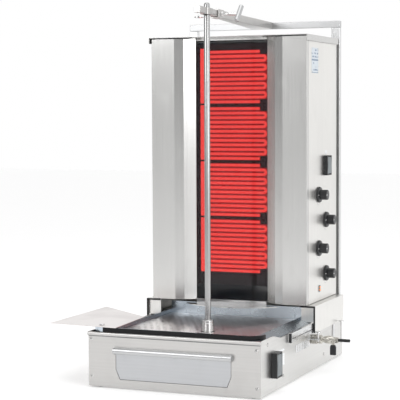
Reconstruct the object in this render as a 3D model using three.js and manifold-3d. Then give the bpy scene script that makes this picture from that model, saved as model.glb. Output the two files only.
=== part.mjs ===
// Free-standing vertical rotisserie oven: a heater cabinet slides on side rails over a
// base that holds a drip pan, a fat drawer and the drive of an upright spit.
// Millimetres, +Z up, X across the front, Y from the front to the back.
import * as THREE from "three";
import { mergeVertices } from "three/addons/utils/BufferGeometryUtils.js";
import Module from "manifold-3d";

const wasm = await Module();
wasm.setup();

// ---------------------------------------------------------------- driving dimensions

const gap = 0.3; // between two pieces that rest against each other
const sheet = 2; // thickness of the casing's steel sheet

const base = {
  width: 560,
  depth: 825,
  frontTop: 168, // height of the side walls at the front
  sideTop: 153, // height of the side walls behind the step
  stepFront: 95, // the side wall's top edge falls between these two
  stepBack: 190,
  deckShort: 25, // the deck stops this far from the base's back
};
const halfBase = base.width / 2;
const foot = { radius: 16, height: 4, insetX: 30, insetY: 30 };
const trim = { height: 13, overhang: 2 };
const vent = { count: 8, first: 325, pitch: 18, width: 5, low: 84, high: 108 };

const drawer = {
  halfWidth: halfBase - 93,
  halfWidthBottom: halfBase - 106,
  bottom: 26,
  chamferTop: 56,
  top: 120,
  slit: 1, // gap round the front in the panel's opening
  boxHalfWidth: halfBase - 112,
  boxDepth: 205,
  boxTop: 105,
};
const handle = {
  halfLength: drawer.halfWidth + 5.5,
  low: 101,
  high: 124,
  weldLow: 114,
  proud: 16,
  lip: 3,
};

const pan = {
  rimHalf: halfBase - 45, // half width between the rim's inner edges
  rimZ: 168.4,
  floor: 126,
  front: 4.3,
  frontTop: 182,
  back: 541,
  backTop: 196,
  cornerRadius: 44,
  flangeDrop: 14,
  edgeGap: 2.2, // between the flange's outer edge and the base's side wall
};
const lip = { thickness: 3 };
const strainer = {
  thickness: 2,
  clear: 1.5, // to the pan's walls
  borderZ: 156,
  centreZ: 141,
  centreHalf: 40,
  slotLength: 10,
  slotWidth: 4,
  columns: 9,
  rows: 7,
};

const spitY = 284; // the spit's axis, on the middle line
const shaft = { radius: 8, low: 22 };
const gear = { teeth: 48, pinionTeeth: 12, module: 2, low: 84, high: 94, backlash: 0.9 };
const gearOutside = gear.module * (gear.teeth / 2 + 1);
const gearCentres = (gear.module * (gear.teeth + gear.pinionTeeth)) / 2;
const drive = {
  halfWidth: gearOutside + 5,
  front: spitY - gearOutside - 5,
  back: spitY + gearCentres + 36,
  top: 110,
  wall: 4,
  coverTop: 116,
  motorRadius: 25,
  motorTop: 76,
};

// The heater cabinet's main sizes, which the frame, the spit and the arm follow.
const cabinet = {
  half: halfBase - 10,
  front: 460,
  back: base.depth - 40,
  low: 212.5,
  top: 1079,
  cornerReturn: 24,
};
const frame = {
  postWidth: 30,
  postDepth: 20.2,
  half: halfBase - 4,
  barLow: cabinet.top + 41,
  barHigh: cabinet.top + 64,
};
const spit = { x: 0, y: spitY, radius: 9.5, foot: 150, tip: frame.barHigh + 34 };
const socket = { radius: spit.radius + 8.5, low: 131, top: 178, bore: spit.radius + gap };
const arm = {
  tilt: 0.034, // the front end is raised, in radians
  rearZ: (frame.barLow + frame.barHigh) / 2, // centre of the sleeve at the crossbar
  sleeve: 24,
  rearHalf: 33,
  collarRear: base.depth - 420,
  collarFront: base.depth - 372,
  collar: 28,
  barFront: base.depth - 228,
  barRear: base.depth - 525,
  barSize: 20,
  slotHalf: 21,
};
const clamp = {
  along: (arm.collarRear + arm.collarFront) / 2 + 1,
  screwRadius: 4,
  reach: 74,
  barRadius: 8,
  barLength: 70,
  lean: 0.72,
};
const armScrew = { along: arm.barFront - 15, radius: 3, diskRadius: 15, diskHeight: 3, low: 26 };

const rail = { low: 125, high: 156, out: 10, front: 249, back: base.depth - 25 };
const saddle = {
  half: halfBase + gap + rail.out + 4.2 + sheet,
  low: rail.low,
  top: cabinet.low - 1.5,
  front: 469,
  inner: cabinet.half - 23,
  ledge: rail.high + gap,
};
const lockPin = {
  x: saddle.half + 12.5,
  front: 462,
  rear: cabinet.back - 67,
  radius: 3,
  headRadius: 10,
  head: 128,
};

const wing = {
  creaseX: cabinet.half - 81,
  foldX: cabinet.half - 110,
  foldY: 470,
  innerX: cabinet.half - 144,
  innerY: 494,
};
const edging = { depth: 3, width: 5.5 };
const glass = {
  half: wing.innerX + 6,
  front: 496.5,
  thickness: 4,
  low: cabinet.low + 3.5,
  top: cabinet.top - 5,
};
const sill = { low: 198, apronHalf: wing.foldX, apron: 70 };
const roof = {
  half: cabinet.half + 5.5,
  front: 448,
  back: cabinet.back + 2,
  skirt: 20,
  headerDrop: 10,
};
const heater = {
  zones: 4,
  firstZ: cabinet.top - 129,
  pitch: 186,
  runs: 12,
  runPitch: 15,
  bar: 7,
  half: wing.innerX - 10,
  front: 506,
};
const reflector = {
  half: wing.innerX + 14,
  front: 530,
  thickness: 25,
  low: 260,
  high: cabinet.top - 19,
};

const knob = { radius: 26, skirt: 8, grip: 24, barrel: 16.5 };
const knobs = [
  { name: "knob_1", y: cabinet.back - 197, z: 563 },
  { name: "knob_2", y: cabinet.back - 118, z: 476 },
  { name: "knob_3", y: cabinet.back - 197, z: 387 },
  { name: "knob_4", y: cabinet.back - 118, z: 297 },
];
const lamp = { y: cabinet.back - 189, z: 253, radius: 6, proud: 4 };
const cabinetSwitch = {
  y: cabinet.back - 119,
  z: 657,
  width: 48,
  height: 66,
  depth: 13,
  rocker: 3,
};
const motorSwitch = { y: 117, z: 81, width: 50, height: 76, depth: 18, rocker: 3 };
const pocketDepth = 6;

// The drain valve's steps outwards, each a distance from the base's wall.
const valve = {
  y: 486,
  z: 103,
  blockOut: halfBase + 22,
  flangeOut: halfBase + 39,
  bodyOut: halfBase + 90,
  spoutOut: halfBase + 127,
};
const lever = { x: halfBase + 78, stem: 22, low: 58, width: 20, thickness: 9 };

const shelf = { low: 183, thickness: 2, pivotX: -halfBase + 32, pivotY: 30, bore: 4.3 };
const shelfOutline = [
  [-halfBase - 138, 10],
  [-halfBase + 98, -8],
  [-halfBase + 84, 232],
  [-halfBase - 135, 400],
];

// ------------------------------------------------------------------------- materials

function metal(color, roughness) {
  return new THREE.MeshStandardMaterial({ color, roughness, metalness: 1 });
}

function plastic(color, roughness) {
  return new THREE.MeshStandardMaterial({ color, roughness, metalness: 0 });
}

const brushed = metal(0xc4c3bf, 0.35);
const polished = metal(0xd2d3d5, 0.15);
const castMetal = metal(0x8d8f92, 0.55);
const brass = metal(0xc9b98c, 0.3);
const black = plastic(0x111214, 0.4);
const rubber = plastic(0x17181a, 0.8);
const grey = plastic(0x6f7477, 0.5);
const amber = plastic(0xf08a2c, 0.3);
const board = plastic(0xd8cfc0, 0.9);
const ceramicGlass = new THREE.MeshStandardMaterial({ color: 0x1a2024, roughness: 0.08 });
const glowing = new THREE.MeshStandardMaterial({ color: 0xe02a26, emissive: 0xd01818 });

// -------------------------------------------------------------------- solid geometry

// A block between two corners.
function block(x0, x1, y0, y1, z0, z1) {
  const g = new THREE.BoxGeometry(x1 - x0, y1 - y0, z1 - z0);
  return g.translate((x0 + x1) / 2, (y0 + y1) / 2, (z0 + z1) / 2);
}

function extruded(points, depth) {
  const outline = new THREE.Shape(points.map(([u, v]) => new THREE.Vector2(u, v)));
  return new THREE.ExtrudeGeometry(outline, { depth, bevelEnabled: false });
}

// A plan outline of [x, y] points, raised from z0 to z1.
function raised(points, z0, z1) {
  return extruded(points, z1 - z0).translate(0, 0, z0);
}

// An end-view outline of [x, z] points, run from y0 to y1.
function runBack(points, y0, y1) {
  return extruded(points, y1 - y0).rotateX(Math.PI / 2).translate(0, y1, 0);
}

// A side-view outline of [y, z] points, run from x0 to x1.
function runAcross(points, x0, x1) {
  const turn = new THREE.Matrix4().set(0, 0, 1, 0, 1, 0, 0, 0, 0, 1, 0, 0, 0, 0, 0, 1);
  return extruded(points, x1 - x0).applyMatrix4(turn).translate(x0, 0, 0);
}

// A round bar along Z, about (x, y).
function upright(x, y, radius, z0, z1, sides = 24) {
  const g = new THREE.CylinderGeometry(radius, radius, z1 - z0, sides);
  return g.rotateX(Math.PI / 2).translate(x, y, (z0 + z1) / 2);
}

// A round bar along X, about (y, z).
function crosswise(x0, x1, radius, y, z, sides = 24) {
  const g = new THREE.CylinderGeometry(radius, radius, x1 - x0, sides);
  return g.rotateZ(Math.PI / 2).translate((x0 + x1) / 2, y, z);
}

// A solid between two level rectangles, each { x, y0, y1, z } with half width x.
function tapered(lower, upper) {
  const corners = [lower, upper].flatMap(({ x, y0, y1, z }) => [
    [-x, y0, z],
    [x, y0, z],
    [x, y1, z],
    [-x, y1, z],
  ]);
  return hexahedron(corners);
}

// Eight corners: the lower four anticlockwise from above, then the four over them.
function hexahedron(corners) {
  const quads = [
    [3, 2, 1, 0],
    [4, 5, 6, 7],
    [0, 1, 5, 4],
    [1, 2, 6, 5],
    [2, 3, 7, 6],
    [3, 0, 4, 7],
  ];
  const triangles = quads.flatMap(([a, b, c, d]) => [a, b, c, a, c, d]);
  const g = new THREE.BufferGeometry();
  g.setAttribute("position", new THREE.Float32BufferAttribute(corners.flat(), 3));
  g.setIndex(triangles);
  return g;
}

function solid(geometry) {
  const bare = geometry.clone();
  bare.deleteAttribute("normal");
  bare.deleteAttribute("uv");
  const merged = mergeVertices(bare, 1e-4);
  return new wasm.Manifold(
    new wasm.Mesh({
      numProp: 3,
      vertProperties: new Float32Array(merged.attributes.position.array),
      triVerts: new Uint32Array(merged.index.array),
    }),
  );
}

function geometryOf(made) {
  const mesh = made.getMesh();
  const g = new THREE.BufferGeometry();
  g.setAttribute("position", new THREE.BufferAttribute(mesh.vertProperties, 3));
  g.setIndex(new THREE.BufferAttribute(mesh.triVerts, 1));
  return g;
}

function joined(...pieces) {
  return geometryOf(pieces.map(solid).reduce((a, b) => a.add(b)));
}

function cut(body, ...tools) {
  return geometryOf(tools.map(solid).reduce((a, b) => a.subtract(b), solid(body)));
}

function common(a, b) {
  return geometryOf(solid(a).intersect(solid(b)));
}

function mesh(name, geometry, material, parent) {
  const bare = geometry.index ? geometry.toNonIndexed() : geometry;
  bare.computeVertexNormals();
  const made = new THREE.Mesh(bare, material);
  made.name = name;
  parent.add(made);
  return made;
}

// Points on an arc about (cx, cy), from one angle to another.
function arc(cx, cy, radius, from, to, steps) {
  return Array.from({ length: steps + 1 }, (_, i) => {
    const angle = from + ((to - from) * i) / steps;
    return [cx + radius * Math.cos(angle), cy + radius * Math.sin(angle)];
  });
}

function mirrored(points) {
  return points.map(([x, y]) => [-x, y]).reverse();
}

const machine = new THREE.Group();

// --------------------------------------------------------------------- base and feet

function baseShell() {
  const y0 = sheet + gap;
  const step = Array.from({ length: 9 }, (_, i) => {
    const t = i / 8;
    const rise = (base.frontTop - base.sideTop) * (3 * t * t - 2 * t * t * t);
    return [base.stepBack - (base.stepBack - base.stepFront) * t, base.sideTop + rise];
  });
  const side = [[y0, 0], [base.depth, 0], [base.depth, base.sideTop], ...step, [y0, base.frontTop]];
  const inner = halfBase - sheet;
  const over = base.frontTop + 1;
  const hollow = block(-inner, inner, y0 - 1, base.depth - sheet, sheet, over);
  const deckFront = pan.back + sheet + gap;
  const deck = block(-inner - 1, inner + 1, deckFront, base.depth - base.deckShort, base.sideTop - sheet, base.sideTop);
  const vents = Array.from({ length: vent.count }, (_, i) => {
    const y = vent.first + vent.pitch * i;
    return block(inner - 1, halfBase + 1, y, y + vent.width, vent.low, vent.high);
  });
  return cut(joined(cut(runAcross(side, -halfBase, halfBase), hollow), deck), ...vents);
}

function drawerOutline(clearance) {
  const wide = drawer.halfWidth + clearance;
  const narrow = drawer.halfWidthBottom + clearance;
  return [
    [-narrow, drawer.bottom - clearance],
    [narrow, drawer.bottom - clearance],
    [wide, drawer.chamferTop],
    [wide, drawer.top + clearance],
    [-wide, drawer.top + clearance],
    [-wide, drawer.chamferTop],
  ];
}

function frontPanel() {
  const low = base.frontTop - trim.height;
  const plate = block(-halfBase, halfBase, 0, sheet, 0, base.frontTop);
  const radius = trim.height / 2;
  const nose = arc(sheet, low + radius, radius, Math.PI * 0.5, Math.PI * 1.5, 10);
  const bead = runAcross(nose, -halfBase - trim.overhang, halfBase + trim.overhang);
  return cut(joined(plate, bead), runBack(drawerOutline(drawer.slit), -20, 20));
}

function makeBase() {
  mesh("base_shell", baseShell(), brushed, machine);
  mesh("front_panel", frontPanel(), brushed, machine);
  const places = {
    foot_front_left: [-halfBase + foot.insetX, foot.insetY],
    foot_front_right: [halfBase - foot.insetX, foot.insetY],
    foot_rear_left: [-halfBase + foot.insetX, base.depth - foot.insetY],
    foot_rear_right: [halfBase - foot.insetX, base.depth - foot.insetY],
  };
  for (const [name, [x, y]] of Object.entries(places))
    mesh(name, upright(x, y, foot.radius, -foot.height, -gap, 20), rubber, machine);
}

// ---------------------------------------------------------------------------- drawer

function fatDrawer() {
  const low = drawer.bottom + sheet + gap;
  const w = drawer.boxHalfWidth;
  const front = runBack(drawerOutline(0), 0, sheet);
  const box = cut(
    block(-w, w, 0.5, drawer.boxDepth, low, drawer.boxTop),
    block(-w + sheet, w - sheet, sheet, drawer.boxDepth - sheet, low + sheet, drawer.boxTop + 1),
  );
  const radius = (handle.high - handle.low) / 2;
  const middle = handle.low + radius;
  const outer = arc(-handle.proud + radius, middle, radius, Math.PI / 2, Math.PI * 1.25, 8);
  const inner = arc(-handle.proud + radius, middle, radius - handle.lip, Math.PI * 1.25, Math.PI / 2, 8);
  const hood = [[-gap, handle.high], ...outer, ...inner, [-gap, handle.high - handle.lip]];
  const grip = runAcross(hood, -handle.halfLength, handle.halfLength);
  const length = handle.halfLength;
  const backing = block(-length, length, -handle.lip, -gap, handle.weldLow, handle.high - 1);
  const weld = block(-w, w, -1, 1, handle.weldLow, drawer.top - 1);
  return joined(front, box, grip, backing, weld);
}

function drawerCradle() {
  const inner = drawer.halfWidthBottom + 2;
  const outer = inner + sheet;
  const level = drawer.bottom;
  const lipTop = level + 18;
  return runBack(
    [
      [-outer, sheet + gap],
      [-inner, sheet + gap],
      [-inner, level],
      [inner, level],
      [inner, sheet + gap],
      [outer, sheet + gap],
      [outer, lipTop],
      [inner, lipTop],
      [inner, level + sheet],
      [-inner, level + sheet],
      [-inner, lipTop],
      [-outer, lipTop],
    ],
    sheet + 2,
    drawer.boxDepth + 10,
  );
}

// ----------------------------------------------------------------- drip pan and lip

// The centre of the rounded front corner that the pan and the lip share.
const corner = {
  x: halfBase - pan.cornerRadius - lip.thickness - 1,
  y: pan.front + pan.cornerRadius,
};

// The band of a rounded front edge, with or without its left corner.
function frontBand(outerRadius, thickness, leftEnd) {
  const { x: cx, y: cy } = corner;
  const front = cy - outerRadius;
  const inner = outerRadius - thickness;
  const quarter = -Math.PI / 2;
  const right = arc(cx, cy, outerRadius, quarter, 0, 8);
  const rightBack = arc(cx, cy, inner, 0, quarter, 8);
  if (!leftEnd) return [[-cx, front], ...right, ...rightBack, [-cx, front + thickness]];
  return [...mirrored(right), ...right, ...rightBack, ...mirrored(rightBack)];
}

function dripPan() {
  const x = pan.rimHalf;
  const edge = halfBase - sheet - pan.edgeGap;
  const floorLow = pan.floor - sheet;
  const outerZ = pan.rimZ - pan.flangeDrop;
  const section = [
    [-edge, outerZ - sheet],
    [-x - sheet, pan.rimZ - sheet],
    [-x - sheet, floorLow],
    [x + sheet, floorLow],
    [x + sheet, pan.rimZ - sheet],
    [edge, outerZ - sheet],
    [edge, outerZ],
    [x, pan.rimZ],
    [x, pan.floor],
    [-x, pan.floor],
    [-x, pan.rimZ],
    [-edge, outerZ],
  ];
  const rounded = arc(corner.x, corner.y, pan.cornerRadius, -Math.PI / 2, 0, 8);
  const plan = raised(
    [
      ...mirrored(rounded),
      ...rounded,
      [halfBase, pan.back],
      [-halfBase, pan.back],
    ],
    floorLow - 1,
    pan.backTop,
  );
  const tray = common(runBack(section, pan.front, pan.back), plan);
  const band = raised(frontBand(pan.cornerRadius, sheet, true), outerZ - sheet, pan.frontTop);
  const front = block(-x - 1, x + 1, pan.front, pan.front + sheet, floorLow, outerZ);
  const back = block(-x - sheet, x + sheet, pan.back - 1, pan.back + sheet, floorLow, pan.backTop);
  const drain = upright(0, 110, 12, floorLow - 1, pan.floor + 1, 16);
  const shaftHole = upright(spit.x, spit.y, shaft.radius + 4, floorLow - 1, pan.floor + 1, 24);
  return cut(joined(tray, band, front, back), drain, shaftHole);
}

function strainerPlate() {
  const t = strainer.thickness;
  const x = pan.rimHalf - strainer.clear;
  const y0 = pan.front + sheet + strainer.clear;
  const y1 = pan.back - strainer.clear;
  const c = strainer.centreHalf;
  const legs = pan.floor + gap;
  const outer = { x, y0, y1, z: strainer.borderZ };
  const centre = { x: c, y0: spit.y - c, y1: spit.y + c, z: strainer.centreZ };
  const top = strainer.borderZ;
  const skirted = cut(
    block(-x, x, y0, y1, legs, top),
    tapered(
      { x: x - t, y0: y0 + t, y1: y1 - t, z: legs - 1 },
      { x: x - t, y0: y0 + t, y1: y1 - t, z: strainer.centreZ - t },
    ),
    tapered(centre, outer),
  );
  const under = tapered(
    { ...centre, z: strainer.centreZ - t - 0.01 },
    { x: x - t, y0: y0 + t, y1: y1 - t, z: top - t },
  );
  const slots = [];
  const pitchX = (2 * x - 60) / (strainer.columns - 1);
  const pitchY = (y1 - y0 - 90) / (strainer.rows - 1);
  for (let i = 0; i < strainer.columns; i++)
    for (let j = 0; j < strainer.rows; j++) {
      const sx = -x + 30 + pitchX * i;
      const sy = y0 + 45 + pitchY * j;
      if (Math.hypot(sx - spit.x, sy - spit.y) < c + 12) continue;
      const l = strainer.slotLength / 2;
      const w = strainer.slotWidth / 2;
      slots.push(block(sx - l, sx + l, sy - w, sy + w, strainer.centreZ - 12, top + 1));
    }
  const hole = upright(spit.x, spit.y, socket.radius + 5, legs - 1, top, 24);
  return cut(skirted, under, hole, ...slots);
}

function makePan() {
  mesh("drip_pan", dripPan(), polished, machine);
  mesh("strainer_plate", strainerPlate(), polished, machine);
  const outline = frontBand(pan.cornerRadius + gap + lip.thickness, lip.thickness, false);
  mesh("front_lip", raised(outline, base.frontTop + gap, pan.frontTop), black, machine);
}

// -------------------------------------------------------------------- drive and spit

function gearOutline(teeth, phase) {
  const pitch = (gear.module * teeth) / 2;
  const tip = pitch + 0.8 * gear.module;
  const root = pitch - 1.1 * gear.module;
  const points = [];
  for (let i = 0; i < teeth; i++) {
    const centre = ((i + phase) * 2 * Math.PI) / teeth;
    const tooth = Math.PI / teeth - gear.backlash / (2 * pitch);
    for (const [radius, share] of [[root, -0.78], [tip, -0.3], [tip, 0.3], [root, 0.78]]) {
      const angle = centre + share * tooth;
      points.push([radius * Math.cos(angle), radius * Math.sin(angle)]);
    }
  }
  return points;
}

const motorY = spit.y + gearCentres;

function toothedWheel(teeth, phase, y, bore) {
  const wheel = raised(gearOutline(teeth, phase), gear.low, gear.high).translate(spit.x, y, 0);
  return bore ? cut(wheel, upright(spit.x, y, bore, gear.low - 1, gear.high + 1)) : wheel;
}

function driveHousing() {
  const w = drive.halfWidth;
  const low = sheet + gap;
  const shell = cut(
    block(-w, w, drive.front, drive.back, low, drive.top),
    block(-w + drive.wall, w - drive.wall, drive.front + drive.wall, drive.back - drive.wall, 12, drive.top + 1),
  );
  const boss = upright(spit.x, spit.y, 16, 11, 40);
  const bore = upright(spit.x, spit.y, shaft.radius + 0.1, shaft.low - 1, 41);
  return cut(joined(shell, boss), bore);
}

function makeDrive(turning) {
  mesh("drive_housing", driveHousing(), castMetal, machine);
  const w = drive.halfWidth;
  const cover = joined(
    block(-w, w, drive.front, drive.back, drive.top + gap, drive.coverTop),
    upright(spit.x, spit.y, shaft.radius + 3.6, drive.coverTop - 1, pan.floor + 2),
  );
  const bore = upright(spit.x, spit.y, shaft.radius + 0.1, drive.top, pan.floor + 3);
  mesh("drive_cover", cut(cover, bore), castMetal, machine);
  const motor = upright(spit.x, motorY, drive.motorRadius, 12 + gap, drive.motorTop);
  mesh("drive_motor", motor, grey, machine);
  const pinion = joined(
    toothedWheel(gear.pinionTeeth, 0.5, motorY, 0),
    upright(spit.x, motorY, 4, drive.motorTop + gap, gear.high + 4, 16),
  );
  mesh("motor_pinion", pinion, castMetal, machine);
  mesh("drive_gear", toothedWheel(gear.teeth, 0, spit.y, shaft.radius + gap), castMetal, turning);
  const foot = joined(
    upright(spit.x, spit.y, shaft.radius, shaft.low, socket.low + 1),
    upright(spit.x, spit.y, socket.radius, socket.low, socket.top),
  );
  const seat = upright(spit.x, spit.y, socket.bore, spit.foot - gap, socket.top + 1);
  mesh("drive_socket", cut(foot, seat), polished, turning);
  mesh("spit_rod", upright(spit.x, spit.y, spit.radius, spit.foot, spit.tip), brushed, turning);
}

// ------------------------------------------------------------ rear frame and the arm

const frameBack = base.depth - sheet - gap;
const frameFront = frameBack - frame.postDepth;

function makeFrame() {
  const outer = frame.half;
  const inner = frame.half - frame.postWidth;
  const low = sheet + gap;
  const top = frame.barLow - gap;
  mesh("post_left", block(-outer, -inner, frameFront, frameBack, low, top), brushed, machine);
  mesh("post_right", block(inner, outer, frameFront, frameBack, low, top), brushed, machine);
  const bar = block(-outer, outer, frameFront, frameBack, frame.barLow, frame.barHigh);
  mesh("crossbar", bar, brushed, machine);
}

// The arm's own frame: its origin is at the crossbar and -Y runs forward along the arm.
function makeArm() {
  const group = new THREE.Group();
  group.position.set(0, frameFront - 1, arm.rearZ);
  group.rotation.x = -arm.tilt;
  machine.add(group);
  const h = arm.sleeve / 2;
  const r = arm.rearHalf;
  const c = arm.collar / 2;
  const body = hexahedron([
    [-h, -arm.collarRear - 1, -h],
    [h, -arm.collarRear - 1, -h],
    [r, 0, -h],
    [-r, 0, -h],
    [-h, -arm.collarRear - 1, h],
    [h, -arm.collarRear - 1, h],
    [r, 0, h],
    [-r, 0, h],
  ]);
  const collar = block(-c, c, -arm.collarFront, -arm.collarRear, -c, c);
  const inside = arm.barSize / 2 + gap;
  const channel = block(-inside, inside, -arm.collarFront - 1, -arm.barRear + 20, -inside, inside);
  const tapped = crosswise(0, c + 1, clamp.screwRadius + 0.4, -clamp.along, 0, 16);
  mesh("arm_sleeve", cut(joined(body, collar), channel, tapped), brushed, group);

  const b = arm.barSize / 2;
  const spitAlong = frameFront - 1 - spit.y;
  const side = spit.radius + gap;
  const slot = joined(
    block(-side, side, -spitAlong - arm.slotHalf + side, -spitAlong + arm.slotHalf - side, -b - 1, b + 1),
    upright(0, -spitAlong - arm.slotHalf + side, side, -b - 1, b + 1),
    upright(0, -spitAlong + arm.slotHalf - side, side, -b - 1, b + 1),
  );
  const eye = raised(
    [
      ...arc(0, -spitAlong - arm.slotHalf + side, 15, Math.PI, 2 * Math.PI, 10),
      ...arc(0, -spitAlong + arm.slotHalf - side, 15, 0, Math.PI, 10),
    ],
    -b,
    b,
  );
  const threaded = upright(0, -armScrew.along, armScrew.radius + 0.4, -b - 1, -b + 9, 16);
  const bar = joined(block(-b, b, -arm.barFront, -arm.barRear, -b, b), eye);
  mesh("arm_bar", cut(bar, slot, threaded), polished, group);

  const screw = joined(
    crosswise(b + 0.5, clamp.reach, clamp.screwRadius, -clamp.along, 0, 16),
    upright(0, 0, clamp.barRadius, -clamp.barLength / 2, clamp.barLength / 2, 16)
      .rotateX(-clamp.lean)
      .translate(clamp.reach, -clamp.along, 0),
  );
  mesh("arm_clamp_handle", screw, polished, group);
  const under = joined(
    upright(0, -armScrew.along, armScrew.radius, -armScrew.low, -b + 6, 16),
    upright(0, -armScrew.along, armScrew.diskRadius, -armScrew.low, -armScrew.low + armScrew.diskHeight),
  );
  mesh("arm_screw", under, polished, group);
}

// ------------------------------------------------------- rails, lock pins, side items

function lug(y, z) {
  const x = halfBase + gap;
  const plate = block(x, lockPin.x + 7, y - 8, y + 8, z, z + 4);
  const leg = block(x, x + 3, y - 8, y + 8, z, rail.low + 1);
  return cut(joined(plate, leg), upright(lockPin.x, y, lockPin.radius + gap, z - 1, z + 5, 16));
}

function makeRails() {
  const x = halfBase + gap;
  const bar = (from, to) => block(from, to, rail.front, rail.back, rail.low, rail.high);
  mesh("rail_left", bar(-x - rail.out, -x), brushed, machine);
  const right = joined(bar(x, x + rail.out), lug(lockPin.front, 104), lug(lockPin.rear, 60));
  mesh("rail_right", right, brushed, machine);
  const pins = { lock_pin_front: [lockPin.front, 98], lock_pin_rear: [lockPin.rear, 54] };
  for (const [name, [y, low]] of Object.entries(pins)) {
    const head = upright(lockPin.x, y, lockPin.headRadius, lockPin.head, lockPin.head + 5);
    const stem = upright(lockPin.x, y, lockPin.radius, low, lockPin.head + 1, 16);
    mesh(name, joined(head, stem), polished, machine);
  }
}

function makeValve() {
  const { y, z } = valve;
  const x = halfBase + gap;
  const body = joined(
    block(x, valve.blockOut + 1, y - 13, y + 13, z - 14, z + 14),
    crosswise(valve.blockOut, valve.flangeOut + 1, 14, y, z),
    crosswise(valve.flangeOut, valve.bodyOut, 10, y, z),
    new THREE.CylinderGeometry(6, 6, 14, 16).translate(lever.x, y - 12, z),
  );
  mesh("drain_valve", body, brass, machine);
  const spout = crosswise(valve.bodyOut + gap, valve.spoutOut, 5, y, z, 16);
  mesh("drain_spout", spout, black, machine);
  const front = y - lever.stem - lever.thickness / 2;
  const back = y - 19 - gap;
  const half = lever.width / 2;
  const paddle = joined(
    block(lever.x - half, lever.x + half, front, back, lever.low, z - 12),
    block(lever.x - 5, lever.x + 5, front + 2, back, z - 14, z + 6),
  );
  mesh("drain_lever", paddle, black, machine);
}

// A switch box on a wall at x = wall, with a rocker in a pocket of its outer face.
function makeSwitch(prefix, spec, wall, parent) {
  const x0 = wall + gap;
  const x1 = x0 + spec.depth;
  const w = spec.width / 2;
  const h = spec.height / 2;
  const edge = 4;
  const pocket = block(x1 - pocketDepth, x1 + 1, spec.y - w + edge, spec.y + w - edge,
    spec.z - h + edge, spec.z + h - edge);
  const box = block(x0, x1, spec.y - w, spec.y + w, spec.z - h, spec.z + h);
  mesh(prefix + "_switch_box", cut(box, pocket), black, parent);
  const rh = h - edge - 1.2;
  const centre = x1 - 0.5;
  const profile = [
    [-pocketDepth + 4, -rh + 2],
    [spec.rocker - 2.5, -rh],
    [spec.rocker - 1, 0],
    [spec.rocker - 2.5, rh],
    [-pocketDepth + 4, rh - 2],
    [-pocketDepth + 1.6, 0],
  ];
  const outline = profile.map(([x, z]) => [centre + x, spec.z + z]);
  const rocker = runBack(outline, spec.y - w + edge + 0.8, spec.y + w - edge - 0.8);
  mesh(prefix + "_rocker", rocker, grey, parent);
}

function makeShelf() {
  const top = shelf.low + shelf.thickness;
  const plate = raised(shelfOutline, shelf.low, top);
  const hole = upright(shelf.pivotX, shelf.pivotY, shelf.bore, shelf.low - 1, top + 1);
  mesh("side_shelf", cut(plate, hole), polished, machine);
  const post = joined(
    upright(shelf.pivotX, shelf.pivotY, 9, pan.rimZ + gap, shelf.low - gap),
    upright(shelf.pivotX, shelf.pivotY, shelf.bore - gap, shelf.low - 1, top + 1),
    upright(shelf.pivotX, shelf.pivotY, 8, top + gap, top + 3),
  );
  mesh("shelf_pivot", post, polished, machine);
}

// -------------------------------------------------------------------- heater cabinet

function wingOutline() {
  const { half, front, cornerReturn } = cabinet;
  const t = sheet;
  return [
    [half, front + cornerReturn],
    [half - t, front + cornerReturn],
    [half - t, front + t],
    [wing.creaseX, front + t],
    [wing.foldX - 0.6, wing.foldY + t],
    [wing.innerX, wing.innerY + t],
    [wing.innerX - 1, wing.innerY + 0.4],
    [wing.foldX, wing.foldY],
    [wing.creaseX, front],
    [half, front],
  ].reverse();
}

function saddleSection() {
  const { half, low, top, inner, ledge } = saddle;
  const wallIn = half - sheet;
  return [
    [half, low],
    [half, top],
    [inner, top],
    [inner, top - sheet],
    [wallIn, top - sheet],
    [wallIn, ledge + sheet],
    [halfBase + 1.5, ledge + sheet],
    [halfBase + 1.5, ledge],
    [wallIn, ledge],
    [wallIn, low],
  ];
}

function edgingSection() {
  const { half, top, inner, low } = saddle;
  return [
    [half, low],
    [half, top],
    [inner, top],
    [inner, top - edging.width],
    [half - edging.width, top - edging.width],
    [half - edging.width, low],
  ];
}

function makeSaddles(parent) {
  const back = cabinet.back - sheet - gap;
  const front = saddle.front - gap;
  const right = saddleSection();
  const strip = edgingSection();
  mesh("saddle_right", runBack(right, saddle.front, back), brushed, parent);
  mesh("saddle_left", runBack(mirrored(right), saddle.front, back), brushed, parent);
  mesh("edging_right", runBack(strip, front - edging.depth, front), rubber, parent);
  mesh("edging_left", runBack(mirrored(strip), front - edging.depth, front), rubber, parent);
}

function backPanel() {
  const { half, back, top, low } = cabinet;
  const upper = half - sheet - gap;
  return joined(
    block(-upper, upper, back - sheet, back, low, top),
    block(-saddle.half, saddle.half, back - sheet, back, saddle.ledge + sheet, saddle.top),
    block(-saddle.inner, saddle.inner, back - sheet, back, saddle.top - 1, low + 1),
  );
}

function roofCap() {
  const z0 = cabinet.top + gap;
  const z1 = z0 + sheet;
  const low = z1 - roof.skirt;
  const skirtIn = roof.half - sheet;
  const header = glass.front - gap;
  return joined(
    block(-roof.half, roof.half, cabinet.front, roof.back, z0, z1),
    block(-roof.half, -skirtIn, roof.front, roof.back, low, z1),
    block(skirtIn, roof.half, roof.front, roof.back, low, z1),
    block(-roof.half, roof.half, roof.front, cabinet.front + 1, z0, z1),
    block(-wing.innerX + 3, wing.innerX - 3, header - sheet, header, z0 - roof.headerDrop, z0 + 1),
  );
}

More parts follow.
